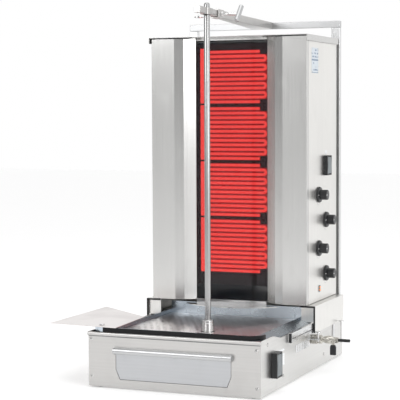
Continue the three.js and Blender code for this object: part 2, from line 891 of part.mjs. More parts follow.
// The strip under the glass, with a crescent apron that leads the fat into the pan.
function sillStrip() {
  const back = glass.front + glass.thickness;
  const front = wing.innerY - 6;
  const half = sill.apronHalf;
  const bend = (half * half + sill.apron * sill.apron) / (2 * sill.apron);
  const centre = front - sill.apron + bend;
  const end = Math.atan2(front - centre, half);
  const edge = arc(0, centre, bend, -Math.PI - end, end, 24);
  const crescent = [...edge, [half, front + sheet], [-half, front + sheet]];
  return joined(
    raised(crescent, sill.low, sill.low + sheet),
    block(-wing.innerX + 3, wing.innerX - 3, front, back, glass.low - gap - sheet, glass.low - gap),
    block(-wing.innerX + 3, wing.innerX - 3, front, front + sheet, sill.low, glass.low - gap),
  );
}

// One zone's element: parallel bars joined in turn at their right and left ends.
function heaterElement(centreZ) {
  const y0 = heater.front;
  const y1 = y0 + heater.bar;
  const h = heater.bar / 2;
  const pieces = [];
  for (let i = 0; i < heater.runs; i++) {
    const z = centreZ + (i - (heater.runs - 1) / 2) * heater.runPitch;
    pieces.push(block(-heater.half, heater.half, y0, y1, z - h, z + h));
    if (i === heater.runs - 1) continue;
    const x = i % 2 ? heater.half - heater.bar : -heater.half;
    pieces.push(block(x, x + heater.bar, y0, y1, z, z + heater.runPitch));
  }
  return joined(...pieces);
}

function makeKnob({ name, y, z }, parent) {
  const x = cabinet.half + gap;
  const made = joined(
    crosswise(x, x + knob.skirt, knob.radius, y, z, 28),
    crosswise(x + knob.skirt - 1, x + knob.skirt + knob.grip, knob.barrel, y, z, 24),
  );
  mesh(name, made, black, parent);
}

function makeCabinet() {
  const group = new THREE.Group();
  machine.add(group);
  makeSaddles(group);
  const { half, front, back, low, top } = cabinet;
  const outline = wingOutline();
  mesh("wing_right", raised(outline, low, top), brushed, group);
  mesh("wing_left", raised(mirrored(outline), low, top), brushed, group);
  const sideFront = front + cabinet.cornerReturn + gap;
  mesh("control_panel", block(half - sheet, half, sideFront, back, low, top), brushed, group);
  mesh("side_panel_left", block(-half, -half + sheet, sideFront, back, low, top), brushed, group);
  mesh("back_panel", backPanel(), brushed, group);
  mesh("roof_cap", roofCap(), brushed, group);
  mesh("sill_strip", sillStrip(), polished, group);
  const pane = block(-glass.half, glass.half, glass.front, glass.front + glass.thickness, glass.low, glass.top);
  mesh("glass_front", pane, ceramicGlass, group);
  for (let i = 0; i < heater.zones; i++)
    mesh("heater_" + (i + 1), heaterElement(heater.firstZ - i * heater.pitch), glowing, group);
  const screen = block(-reflector.half, reflector.half, reflector.front,
    reflector.front + reflector.thickness, reflector.low, reflector.high);
  mesh("insulation_board", screen, board, group);
  for (const each of knobs) makeKnob(each, group);
  const x = half + gap;
  mesh("indicator_lamp", crosswise(x, x + lamp.proud, lamp.radius, lamp.y, lamp.z, 16), amber, group);
  makeSwitch("cabinet", cabinetSwitch, half, group);
}

// -------------------------------------------------------------------------- assembly

const turning = new THREE.Group();
machine.add(turning);
makeBase();
mesh("fat_drawer", fatDrawer(), brushed, machine);
mesh("drawer_cradle", drawerCradle(), brushed, machine);
makePan();
makeDrive(turning);
makeFrame();
makeArm();
makeRails();
makeValve();
makeSwitch("motor", motorSwitch, halfBase, machine);
makeShelf();
makeCabinet();

// The origin is the centre of the whole object's footprint, on the floor.
const bounds = new THREE.Box3().setFromObject(machine);
machine.position.set(
  -(bounds.min.x + bounds.max.x) / 2,
  -(bounds.min.y + bounds.max.y) / 2,
  -bounds.min.z,
);

const oven = new THREE.Group();
oven.add(machine);

export default oven;
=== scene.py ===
"""Free-standing vertical rotisserie oven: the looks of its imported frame.

The scene is in metres and in the frame's own axes, and the sub-assemblies give their sizes in millimetres.
"""

import logging
import math
from collections.abc import Iterable, Sequence
from dataclasses import dataclass, field
from enum import Enum

import bmesh
import bpy
from mathutils import Matrix, Vector

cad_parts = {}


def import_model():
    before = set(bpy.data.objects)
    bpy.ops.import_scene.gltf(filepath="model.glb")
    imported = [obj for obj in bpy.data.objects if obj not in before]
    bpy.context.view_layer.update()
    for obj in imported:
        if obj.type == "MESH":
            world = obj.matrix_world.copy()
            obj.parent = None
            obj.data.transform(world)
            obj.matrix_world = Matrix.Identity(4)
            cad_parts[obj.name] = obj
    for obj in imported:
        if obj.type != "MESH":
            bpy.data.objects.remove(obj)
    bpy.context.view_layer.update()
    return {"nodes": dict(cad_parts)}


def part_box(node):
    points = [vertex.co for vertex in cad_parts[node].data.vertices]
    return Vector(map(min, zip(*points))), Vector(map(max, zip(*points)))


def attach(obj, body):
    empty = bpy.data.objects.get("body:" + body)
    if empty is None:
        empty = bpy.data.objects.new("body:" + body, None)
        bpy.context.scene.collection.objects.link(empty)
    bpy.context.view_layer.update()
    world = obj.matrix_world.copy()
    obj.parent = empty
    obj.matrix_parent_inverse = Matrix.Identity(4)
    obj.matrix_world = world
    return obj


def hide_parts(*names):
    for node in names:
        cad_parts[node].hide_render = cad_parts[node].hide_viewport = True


log = logging.getLogger("oven")

MM = 0.001
Point = tuple[float, float, float]
Outline = Sequence[tuple[float, float]]
Colour = tuple[float, float, float]


# ------------------------------------------------------------------ material recipes


class Value:
    """A number that flows through a material; Python's operators add its Math nodes."""

    def __init__(self, recipe: "Recipe", socket: bpy.types.NodeSocket) -> None:
        """Keeps the recipe that made the socket."""
        self.recipe = recipe
        self.socket = socket

    def __add__(self, other: "Value | float") -> "Value":
        """Sum."""
        return self.recipe.math("ADD", self, other)

    __radd__ = __add__

    def __sub__(self, other: "Value | float") -> "Value":
        """Difference."""
        return self.recipe.math("SUBTRACT", self, other)

    def __rsub__(self, other: float) -> "Value":
        """Difference from a plain number."""
        return self.recipe.math("SUBTRACT", other, self)

    def __mul__(self, other: "Value | float") -> "Value":
        """Product."""
        return self.recipe.math("MULTIPLY", self, other)

    __rmul__ = __mul__

    def lowest(self, other: "Value | float") -> "Value":
        """The smaller of two values."""
        return self.recipe.math("MINIMUM", self, other)

    def highest(self, other: "Value | float") -> "Value":
        """The larger of two values."""
        return self.recipe.math("MAXIMUM", self, other)

    def over(self, limit: "Value | float") -> "Value":
        """One where the value is over the limit, and zero elsewhere."""
        return self.recipe.math("GREATER_THAN", self, limit)

    def size(self) -> "Value":
        """The value without its sign."""
        return self.recipe.math("ABSOLUTE", self, 0.0)

    def wrapped(self, length: float) -> "Value":
        """The value folded into the stretch from zero to a length."""
        return self.recipe.node(
            "ShaderNodeMath", {"operation": "WRAP"}, {0: self, 1: length, 2: 0.0}
        )

    def eased(self, low: float, high: float) -> "Value":
        """Zero below low, one above high, and a smooth rise between."""
        return self.recipe.node(
            "ShaderNodeMapRange",
            {"interpolation_type": "SMOOTHSTEP"},
            {"Value": self, "From Min": low, "From Max": high},
        )


class Recipe:
    """A material under construction. Every node comes from its node method."""

    def __init__(self, name: str) -> None:
        """Starts an empty material.

        Args:
            name: The material's name.
        """
        self.material = bpy.data.materials.new(name)
        self.material.use_nodes = True
        self._take(self.material.node_tree)

    @classmethod
    def of_tree(cls, tree: bpy.types.NodeTree) -> "Recipe":
        """A recipe that fills a tree which isn't a material's, such as the room's."""
        made = cls.__new__(cls)
        made._take(tree)
        return made

    def _take(self, tree: bpy.types.NodeTree) -> None:
        """Starts with a tree, emptied."""
        self.tree = tree
        self.tree.nodes.clear()
        self._place: Value | None = None

    def node(
        self,
        kind: str,
        settings: dict[str, object] | None = None,
        inputs: dict[object, object] | None = None,
        output: object = 0,
    ) -> Value:
        """Adds one node.

        Args:
            kind: The node's type.
            settings: Its settings, set before its sockets; "stops" fills a colour ramp.
            inputs: Values or links of its sockets, by name or number.
            output: The output that is returned, by name or number.

        Returns:
            The output as a Value.
        """
        made = self.tree.nodes.new(kind)
        for key, value in (settings or {}).items():
            if key == "stops":
                self._fill(made.color_ramp, value)
            else:
                setattr(made, key, value)
        for key, value in (inputs or {}).items():
            self._feed(made.inputs[key], value)
        return Value(self, made.outputs[output]) if len(made.outputs) else made

    def _fill(self, ramp: bpy.types.ColorRamp, stops: Sequence[tuple[float, Colour]]) -> None:
        """Sets a ramp's stops from (place, colour) pairs."""
        while len(ramp.elements) < len(stops):
            ramp.elements.new(0.5)
        for element, (place, colour) in zip(ramp.elements, stops):
            element.position = place
            element.color = (*colour, 1.0)

    def _feed(self, target: bpy.types.NodeSocket, value: object) -> None:
        """Links a Value to a socket, or sets a constant on it."""
        if isinstance(value, Value):
            self.tree.links.new(value.socket, target)
        elif isinstance(value, tuple) and len(value) == 3 and target.type == "RGBA":
            target.default_value = (*value, 1.0)
        else:
            target.default_value = value

    def math(self, operation: str, first: "Value | float", second: "Value | float") -> Value:
        """A Math node of two values."""
        return self.node("ShaderNodeMath", {"operation": operation}, {0: first, 1: second})

    def place(self) -> Value:
        """The point on the piece, in metres of the frame."""
        if self._place is None:
            self._place = self.node("ShaderNodeTexCoord", output="Object")
        return self._place

    def axis(self, name: str) -> Value:
        """One coordinate of the point on the piece."""
        return self.node("ShaderNodeSeparateXYZ", {}, {0: self.place()}, output=name)

    def noise(self, cells: Point, detail: float = 3.0, shift: float = 0.0) -> Value:
        """Noise with its own number of cells per metre on each axis.

        Args:
            cells: Cells per metre along X, Y and Z.
            detail: Octaves of the noise.
            shift: Moves the pattern, so that two layers differ.

        Returns:
            The noise, from zero to one.
        """
        stretched = self.node(
            "ShaderNodeVectorMath", {"operation": "MULTIPLY"}, {0: self.place(), 1: cells}
        )
        moved = self.node(
            "ShaderNodeVectorMath",
            {"operation": "ADD"},
            {0: stretched, 1: (shift, shift * 1.7, shift * 0.6)},
        )
        return self.node(
            "ShaderNodeTexNoise", {}, {"Vector": moved, "Scale": 1.0, "Detail": detail}
        )

    def blend(self, amount: "Value | float", first: object, second: object) -> Value:
        """A mix of two colours by an amount from zero to one."""
        return self.node(
            "ShaderNodeMix", {"data_type": "RGBA"}, {0: amount, 6: first, 7: second}, output=2
        )

    def bump(self, height: Value, depth: float, strength: float) -> Value:
        """A normal that follows a height of at most a depth in metres."""
        return self.node(
            "ShaderNodeBump", {}, {"Strength": strength, "Distance": depth, "Height": height}
        )

    def surface(self, **sockets: object) -> bpy.types.Material:
        """Ends the material with one principled surface.

        Args:
            sockets: Its sockets, with underscores for the spaces of their names.

        Returns:
            The finished material.
        """
        named = {key.replace("_", " "): value for key, value in sockets.items()}
        shader = self.node("ShaderNodeBsdfPrincipled", {}, named)
        self.node("ShaderNodeOutputMaterial", {}, {"Surface": shader})
        return self.material


class Grain(Enum):
    """The way that a sheet was brushed, as cells per metre along X, Y and Z."""

    UPRIGHT = (900.0, 900.0, 5.0)
    ACROSS = (5.0, 900.0, 900.0)
    BACKWARD = (900.0, 5.0, 900.0)


@dataclass(frozen=True)
class Finish:
    """A surface finish. Its material is made once and shared by the pieces that wear it."""

    name: str

    def build(self) -> bpy.types.Material:
        """Makes the material."""
        raise NotImplementedError

    def material(self) -> bpy.types.Material:
        """The finish's material, made on first use."""
        return bpy.data.materials.get(self.name) or self.build()


@dataclass(frozen=True)
class BrushedSteel(Finish):
    """Stainless sheet with a fine directional grain, faint handling marks and a soft sheen."""

    colour: Colour = (0.62, 0.615, 0.60)
    grain: Grain = Grain.UPRIGHT
    roughness: float = 0.30
    relief: float = 0.06

    def build(self) -> bpy.types.Material:
        """Makes the material."""
        make = Recipe(self.name)
        lines = make.noise(self.grain.value, 4.0)
        long_lines = make.noise(tuple(c * 0.21 for c in self.grain.value), 2.0, 3.1)
        clouds = make.noise((3.2, 3.2, 2.4), 2.0, 7.7)
        smudges = make.noise((17.0, 17.0, 13.0), 4.0, 1.3).eased(0.54, 0.78)
        dark = tuple(c * 0.93 for c in self.colour)
        light = tuple(min(1.0, c * 1.05) for c in self.colour)
        tone = (lines * 0.4 + long_lines * 0.2 + clouds * 0.4).eased(0.3, 0.7)
        base = make.blend(tone, dark, light)
        soiled = make.blend(smudges * 0.10, base, tuple(c * 0.7 for c in self.colour))
        rough = self.roughness + (lines - 0.5) * 0.08 + (clouds - 0.5) * 0.08 + smudges * 0.05
        return make.surface(
            Base_Color=soiled,
            Metallic=1.0,
            Roughness=rough.highest(0.08),
            Normal=make.bump(lines + long_lines * 0.6, 0.00012, self.relief),
        )


@dataclass(frozen=True)
class PolishedSteel(Finish):
    """Bright stainless with fine wiping marks and the slight waviness of pressed sheet."""

    colour: Colour = (0.70, 0.705, 0.71)
    roughness: float = 0.12
    waviness: float = 0.25
    wave_cells: Point = (9.0, 9.0, 9.0)

    def build(self) -> bpy.types.Material:
        """Makes the material."""
        make = Recipe(self.name)
        waves = make.noise(self.wave_cells, 1.0, 2.2)
        wipes = make.noise((160.0, 38.0, 120.0), 3.0, 5.0)
        film = make.noise((8.0, 8.0, 8.0), 3.0, 9.4).eased(0.42, 0.72)
        base = make.blend(film * 0.6, self.colour, tuple(c * 0.86 for c in self.colour))
        rough = self.roughness + (wipes - 0.5) * 0.07 + film * 0.06
        return make.surface(
            Base_Color=base,
            Metallic=1.0,
            Roughness=rough.highest(0.04),
            Normal=make.bump(waves + wipes * 0.03, 0.004, self.waviness),
        )


@dataclass(frozen=True)
class CastMetal(Finish):
    """Cast or plated metal with a fine pebbled skin."""

    colour: Colour = (0.42, 0.42, 0.42)
    roughness: float = 0.42
    pebble: float = 0.3

    def build(self) -> bpy.types.Material:
        """Makes the material."""
        make = Recipe(self.name)
        pebbles = make.noise((700.0, 700.0, 700.0), 2.0)
        patches = make.noise((40.0, 40.0, 40.0), 3.0, 4.0)
        base = make.blend(
            patches.eased(0.35, 0.65),
            tuple(c * 0.82 for c in self.colour),
            tuple(min(1.0, c * 1.12) for c in self.colour),
        )
        return make.surface(
            Base_Color=base,
            Metallic=1.0,
            Roughness=self.roughness + (patches - 0.5) * 0.2,
            Normal=make.bump(pebbles, 0.0002, self.pebble),
        )


@dataclass(frozen=True)
class Moulded(Finish):
    """Moulded plastic or rubber: a fine texture with rubbed, slightly glossier patches."""

    colour: Colour = (0.012, 0.013, 0.015)
    roughness: float = 0.38
    texture: float = 0.25

    def build(self) -> bpy.types.Material:
        """Makes the material."""
        make = Recipe(self.name)
        fine = make.noise((1500.0, 1500.0, 1500.0), 2.0)
        rubbed = make.noise((45.0, 45.0, 45.0), 3.0, 6.0).eased(0.4, 0.75)
        lighter = tuple(c * 1.35 + 0.004 for c in self.colour)
        return make.surface(
            Base_Color=make.blend(rubbed * 0.5, self.colour, lighter),
            Roughness=self.roughness + (fine - 0.5) * 0.10 - rubbed * 0.08,
            Normal=make.bump(fine, 0.00008, self.texture),
        )


@dataclass(frozen=True)
class GlossBlack(Finish):
    """Glossy near-black band with a light dust; the pan's dark front band is painted this near-black."""

    colour: Colour = (0.006, 0.006, 0.007)

    def build(self) -> bpy.types.Material:
        """Makes the material."""
        make = Recipe(self.name)
        dust = make.noise((220.0, 220.0, 220.0), 4.0).eased(0.55, 0.8)
        ripple = make.noise((14.0, 14.0, 14.0), 2.0, 3.0)
        return make.surface(
            Base_Color=make.blend(dust * 0.25, self.colour, (0.05, 0.05, 0.055)),
            Roughness=0.30 + dust * 0.12,
            Specular_IOR_Level=0.22,
            Normal=make.bump(ripple, 0.0006, 0.15),
        )


@dataclass(frozen=True)
class GlowingWire(Finish):
    """A red-hot heating run with painted shade: its glow is hottest where the wire faces the camera, cooler
    towards its edges, and varies at random.
    """

    hot: Colour = (0.93, 0.050, 0.042)
    cool: Colour = (0.50, 0.010, 0.012)
    strength: float = 1.7

    def build(self) -> bpy.types.Material:
        """Makes the material."""
        make = Recipe(self.name)
        uneven = make.noise((26.0, 26.0, 40.0), 3.0)
        # Painted shade: the facing value darkens the glow towards the wire's edges as seen from the camera.
        painted_edge_shade = make.node("ShaderNodeLayerWeight", {}, {"Blend": 0.35}, output="Facing")
        heat_with_painted_shade = (1.08 - painted_edge_shade * 0.50) * (0.90 + uneven * 0.20)
        glow = make.blend(heat_with_painted_shade.lowest(1.0), self.cool, self.hot)
        return make.surface(
            Base_Color=make.blend(uneven, (0.10, 0.02, 0.018), (0.16, 0.04, 0.03)),
            Roughness=0.7,
            Emission_Color=glow,
            Emission_Strength=self.strength,
        )


@dataclass(frozen=True)
class PaintedGlowBoard(Finish):
    """The dark insulating board behind the heating runs, with the runs' red glow painted on it within each
    zone.

    The zones' centres run down from first by pitch, in metres of the frame. The painted glow lies on the
    front face only, and each zone's right corners stay dark by the notch, where the runs end short.
    """

    left: float = -0.12
    right: float = 0.12
    first: float = 0.95
    pitch: float = 0.186
    half_height: float = 0.09
    zones: int = 4
    face: float = 0.13
    notch: tuple[float, float] = (0.024, 0.013)

    def build(self) -> bpy.types.Material:
        """Makes the material."""
        make = Recipe(self.name)
        x = make.axis("X")
        z = make.axis("Z")
        within = z.over(self.first - (self.zones - 0.5) * self.pitch) * (
            1 - z.over(self.first + 0.5 * self.pitch)
        )
        offset = ((self.first + 0.5 * self.pitch) - z).wrapped(self.pitch) - 0.5 * self.pitch
        zone = 1 - offset.size().eased(self.half_height - 0.002, self.half_height + 0.003)
        side = x.eased(self.left - 0.003, self.left + 0.002) * (
            1 - x.eased(self.right - 0.004, self.right + 0.004)
        )
        corner = x.over(self.right - self.notch[0]) * offset.size().over(
            self.half_height - self.notch[1]
        )
        front = 1 - make.axis("Y").over(self.face + 0.001)
        # Painted light: the mask of the glow that the heating runs cast on the board.
        lit = zone * side * within * front * (1 - corner)
        fibre = make.noise((420.0, 420.0, 420.0), 4.0)
        # The red of the painted glow.
        red = make.blend(fibre, (0.40, 0.008, 0.010), (0.52, 0.012, 0.014))
        return make.surface(
            Base_Color=make.blend(fibre, (0.018, 0.017, 0.017), (0.040, 0.037, 0.036)),
            Roughness=0.9,
            Emission_Color=make.blend(lit, (0.004, 0.001, 0.001), red),
            Emission_Strength=1.0,
            Normal=make.bump(fibre, 0.0006, 0.5),
        )


@dataclass(frozen=True)
class CeramicGlass(Finish):
    """Smoke-tinted ceramic glass, clear to the glow behind it and glossy in front."""

    tint: Colour = (0.012, 0.017, 0.022)
    cover: float = 0.28

    def build(self) -> bpy.types.Material:
        """Makes the material."""
        make = Recipe(self.name)
        film = make.noise((6.0, 6.0, 4.0), 4.0).eased(0.4, 0.8)
        specks = make.noise((350.0, 350.0, 350.0), 3.0, 8.0).eased(0.66, 0.8)
        return make.surface(
            Base_Color=make.blend(specks * 0.3, self.tint, (0.08, 0.085, 0.09)),
            Roughness=0.03 + film * 0.05 + specks * 0.1,
            Alpha=self.cover + film * 0.05,
            Specular_IOR_Level=0.5,
        )


@dataclass(frozen=True)
class Lens(Finish):
    """A small lit lamp lens, with painted shade: its colour and glow darken towards the edges that turn away
    from the camera.
    """

    colour: Colour = (0.95, 0.28, 0.04)

    def build(self) -> bpy.types.Material:
        """Makes the material."""
        make = Recipe(self.name)
        ribs = make.noise((900.0, 900.0, 900.0), 1.0)
        # Painted shade: the facing value darkens the lens's colour and glow towards its edges as seen from
        # the camera.
        rim = make.node("ShaderNodeLayerWeight", {}, {"Blend": 0.5}, output="Facing")
        return make.surface(
            Base_Color=make.blend(rim, self.colour, tuple(c * 0.5 for c in self.colour)),
            Roughness=0.2 + ribs * 0.1,
            Emission_Color=make.blend(rim, self.colour, (0.6, 0.10, 0.02)),
            Emission_Strength=0.8,
        )


@dataclass(frozen=True)
class PrintedPlate(Finish):
    """A thin rating plate or tag with ruled boxes and bars in place of its printing."""

    ground: Colour = (0.80, 0.82, 0.84)
    ink: Colour = (0.20, 0.27, 0.36)
    rows: float = 95.0
    columns: float = 60.0
    cover: float = 0.42

    def build(self) -> bpy.types.Material:
        """Makes the material."""
        make = Recipe(self.name)
        row = (make.axis("Z") * self.rows).wrapped(1.0)
        bars = row.over(0.30) * (1 - row.over(0.78))
        cells = make.node(
            "ShaderNodeTexVoronoi",
            {"distance": "CHEBYCHEV"},
            {"Vector": make.place(), "Scale": self.columns},
            output="Color",
        )
        level = make.node("ShaderNodeRGBToBW", {}, {0: cells})
        filled = level.over(1 - self.cover) * bars
        wear = make.noise((300.0, 300.0, 300.0), 3.0)
        return make.surface(
            Base_Color=make.blend(filled * 0.85 + wear * 0.06, self.ground, self.ink),
            Roughness=0.35 + wear * 0.15,
            Normal=make.bump(wear, 0.0001, 0.2),
        )


class Finishes:
    """The finishes that this oven wears, each named for its use."""

    casing = BrushedSteel("casing steel", (0.62, 0.617, 0.607), Grain.UPRIGHT, 0.22)
    front = BrushedSteel("front sheet steel", (0.58, 0.572, 0.56), Grain.ACROSS, 0.32)
    drawer = BrushedSteel("drawer steel", (0.52, 0.53, 0.545), Grain.ACROSS, 0.31)
    side = BrushedSteel("side sheet steel", (0.70, 0.695, 0.68), Grain.BACKWARD, 0.32)
    controls = BrushedSteel("control panel steel", (0.82, 0.81, 0.785), Grain.UPRIGHT, 0.34)
    frame = BrushedSteel("frame tube steel", (0.70, 0.705, 0.71), Grain.UPRIGHT, 0.26)
    # Painted shade: the cross tube, arm and handle are stainless like the frame, given darker colours for the
    # shade on them.
    bar = BrushedSteel("cross tube steel with painted shade", (0.56, 0.565, 0.57), Grain.ACROSS, 0.30)
    arm = BrushedSteel("arm steel with painted shade", (0.54, 0.53, 0.52), Grain.BACKWARD, 0.30)
    handle = BrushedSteel("handle steel with painted shade", (0.54, 0.545, 0.55), Grain.ACROSS, 0.28)
    rod = BrushedSteel("spit steel", (0.47, 0.47, 0.47), Grain.UPRIGHT, 0.24, 0.05)
    # Painted reflection and shade: the pan's steel is tinted bluish and darkened for the reflection and shade
    # on its walls.
    pan = PolishedSteel("pan steel with painted reflection", (0.54, 0.60, 0.66), 0.26, 0.02)
    strainer = PolishedSteel("strainer steel", (0.86, 0.84, 0.83), 0.34, 0.03, (7.0, 2.2, 7.0))
    shelf = PolishedSteel("shelf steel", (0.80, 0.765, 0.75), 0.30, 0.03)
    bright = PolishedSteel("bright fittings", (0.72, 0.72, 0.72), 0.12, 0.02)
    cast = CastMetal("cast drive metal")
    nickel = CastMetal("valve nickel", (0.60, 0.58, 0.53), 0.26, 0.08)
    zinc = CastMetal("zinc screws", (0.58, 0.58, 0.57), 0.26, 0.05)
    black = Moulded("black plastic")
    rubber = Moulded("black rubber", (0.010, 0.010, 0.011), 0.62, 0.5)
    grey = Moulded("grey plastic", (0.16, 0.18, 0.19), 0.42)
    white = Moulded("white print", (0.86, 0.86, 0.85), 0.45)
    motor = CastMetal("motor case", (0.20, 0.21, 0.22), 0.5, 0.5)
    gloss = GlossBlack("glossy black edging")
    wire = GlowingWire("glowing wire")
    glass = CeramicGlass("ceramic glass")
    lens = Lens("lamp lens")
    plate = PrintedPlate("rating plate", (0.62, 0.67, 0.72), (0.13, 0.20, 0.30), 95.0, 70.0, 0.55)
    tag = PrintedPlate("tag", (0.90, 0.91, 0.92), (0.45, 0.49, 0.55), 300.0, 400.0, 0.3)


# --------------------------------------------------------------------- mesh building


class Axis(Enum):
    """An axis that an outline runs along; its (u, v) become the other two coordinates."""

    X = 0
    Y = 1
    Z = 2

    def point(self, u: float, v: float, along: float) -> Vector:
        """The point for (u, v) at a place along the axis."""
        if self is Axis.X:
            return Vector((along, u, v))
        if self is Axis.Y:
            return Vector((u, along, v))
        return Vector((u, v, along))


def arc(
    cx: float, cy: float, radius: float, start: float, end: float, steps: int
) -> list[tuple[float, float]]:
    """Points on an arc.

    Args:
        cx: First coordinate of its centre.
        cy: Second coordinate of its centre.
        radius: Its radius.
        start: Its first angle, in degrees.
        end: Its last angle, in degrees.
        steps: The number of chords.

    Returns:
        The points, both ends included.
    """
    angles = [math.radians(start + (end - start) * i / steps) for i in range(steps + 1)]
    return [(cx + radius * math.cos(a), cy + radius * math.sin(a)) for a in angles]


@dataclass(frozen=True)
class Datum:
    """Where the workshop's millimetres start: the middle of the base's front bottom edge."""

    origin: Vector

    @classmethod
    def read(cls, depth: float = 825.0) -> "Datum":
        """Finds the datum from the base's own box.

        Args:
            depth: The base's depth in millimetres.

        Returns:
            The datum.
        """
        low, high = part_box("base_shell")
        return cls(Vector(((low.x + high.x) / 2, high.y - depth * MM, low.z)))

    def matrix(self) -> Matrix:
        """Carries millimetres from the datum into the frame."""
        return Matrix.Translation(self.origin) @ Matrix.Scale(MM, 4)

    def spot(self, x: float, y: float, z: float) -> Vector:
        """One point of the frame from its millimetres."""
        return self.matrix() @ Vector((x, y, z))


class Shape:
    """A mesh under construction, in millimetres from the datum."""

    def __init__(self) -> None:
        """Starts empty."""
        self.bm = bmesh.new()

    def ring(self, points: Iterable[Vector]) -> list[bmesh.types.BMVert]:
        """Adds a loop of vertices."""
        return [self.bm.verts.new(p) for p in points]

    def bridge(self, first: list, second: list, closed: bool = True) -> None:
        """Joins two loops of equal length with quads."""
        count = len(first)
        for i in range(count if closed else count - 1):
            j = (i + 1) % count
            self.bm.faces.new((first[i], first[j], second[j], second[i]))

    def prism(self, outline: Outline, start: float, end: float, along: Axis = Axis.Z) -> "Shape":
        """Adds an outline run along an axis, closed at both ends."""
        first = self.ring(along.point(u, v, start) for u, v in outline)
        last = self.ring(along.point(u, v, end) for u, v in outline)
        self.bridge(first, last)
        self.bm.faces.new(first[::-1])
        self.bm.faces.new(last)
        return self

    def box(self, x: tuple[float, float], y: tuple[float, float], z: tuple[float, float]) -> "Shape":
        """Adds a block between two corners."""
        corners = [(x[0], y[0]), (x[1], y[0]), (x[1], y[1]), (x[0], y[1])]
        return self.prism(corners, z[0], z[1])

    def lathe(self, profile: Outline, at: Point, along: Axis = Axis.Z, steps: int = 36) -> "Shape":
        """Adds a turned piece.

        Args:
            profile: (radius, height) pairs from one end to the other; a zero radius closes it.
            at: The point where height is zero.
            along: The axis that it is turned about.
            steps: Sides of the turning.

        Returns:
            The shape.
        """
        centre = Vector(at)
        rings: list[list] = []
        for radius, height in profile:
            if radius <= 0:
                rings.append(self.ring([centre + along.point(0.0, 0.0, height)]))
            else:
                turn = arc(0.0, 0.0, radius, 0.0, 360.0, steps)[:-1]
                rings.append(self.ring(centre + along.point(u, v, height) for u, v in turn))
        for first, second in zip(rings, rings[1:]):
            self._join_rings(first, second)
        for ring, flip in ((rings[0], True), (rings[-1], False)):
            if len(ring) > 1:
                self.bm.faces.new(ring[::-1] if flip else ring)
        return self

    def _join_rings(self, first: list, second: list) -> None:
        """Joins two rings, either of which may be a single point."""
        if len(first) == len(second):
            self.bridge(first, second)
            return
        point, ring = (first[0], second) if len(first) == 1 else (second[0], first)
        for a, b in zip(ring, ring[1:] + ring[:1]):
            self.bm.faces.new((a, b, point))

    def tube(self, path: Sequence[Vector], radius: float, steps: int = 12, closed: bool = False) -> "Shape":
        """Adds a round tube along a path.

        Args:
            path: Its centre line.
            radius: Its radius.
            steps: Sides of its section.
            closed: Whether the path returns to its start.

        Returns:
            The shape.
        """
        rings: list[list] = []
        count = len(path)
        side = Vector((0, 1, 0))
        for i, point in enumerate(path):
            ahead = path[(i + 1) % count] if closed or i + 1 < count else point
            behind = path[i - 1] if closed or i else point
            way = (ahead - behind).normalized()
            side = (side - way * side.dot(way)).normalized()
            other = way.cross(side)
            rings.append(
                self.ring(point + side * u + other * v for u, v in arc(0, 0, radius, 0, 360, steps)[:-1])
            )
        for first, second in zip(rings, rings[1:]):
            self.bridge(first, second)
        if closed:
            self.bridge(rings[-1], rings[0])
        else:
            self.bm.faces.new(rings[0][::-1])
            self.bm.faces.new(rings[-1])
        return self

    def sheet(
        self,
        outline: Outline,
        holes: Sequence[Outline],
        start: float,
        end: float,
        along: Axis,
    ) -> "Shape":
        """Adds a flat sheet with holes through it.

        Args:
            outline: The sheet's outline.
            holes: The outlines of its holes.
            start: Where it starts along the axis.
            end: Where it ends.
            along: The axis across its thickness.

        Returns:
            The shape.
        """
        edges = []
        for loop in (outline, *holes):
            ring = self.ring(along.point(u, v, start) for u, v in loop)
            edges += [self.bm.edges.new((a, b)) for a, b in zip(ring, ring[1:] + ring[:1])]
        filled = bmesh.ops.triangle_fill(self.bm, use_beauty=True, edges=edges)
        faces = [g for g in filled["geom"] if isinstance(g, bmesh.types.BMFace)]
        grown = bmesh.ops.extrude_face_region(self.bm, geom=faces, use_keep_orig=True)
        moved = [g for g in grown["geom"] if isinstance(g, bmesh.types.BMVert)]
        bmesh.ops.translate(self.bm, verts=moved, vec=along.point(0.0, 0.0, end - start))
        return self

    def placed(self, matrix: Matrix) -> "Shape":
        """Carries everything made so far by a matrix, in millimetres."""
        self.bm.transform(matrix)
        return self


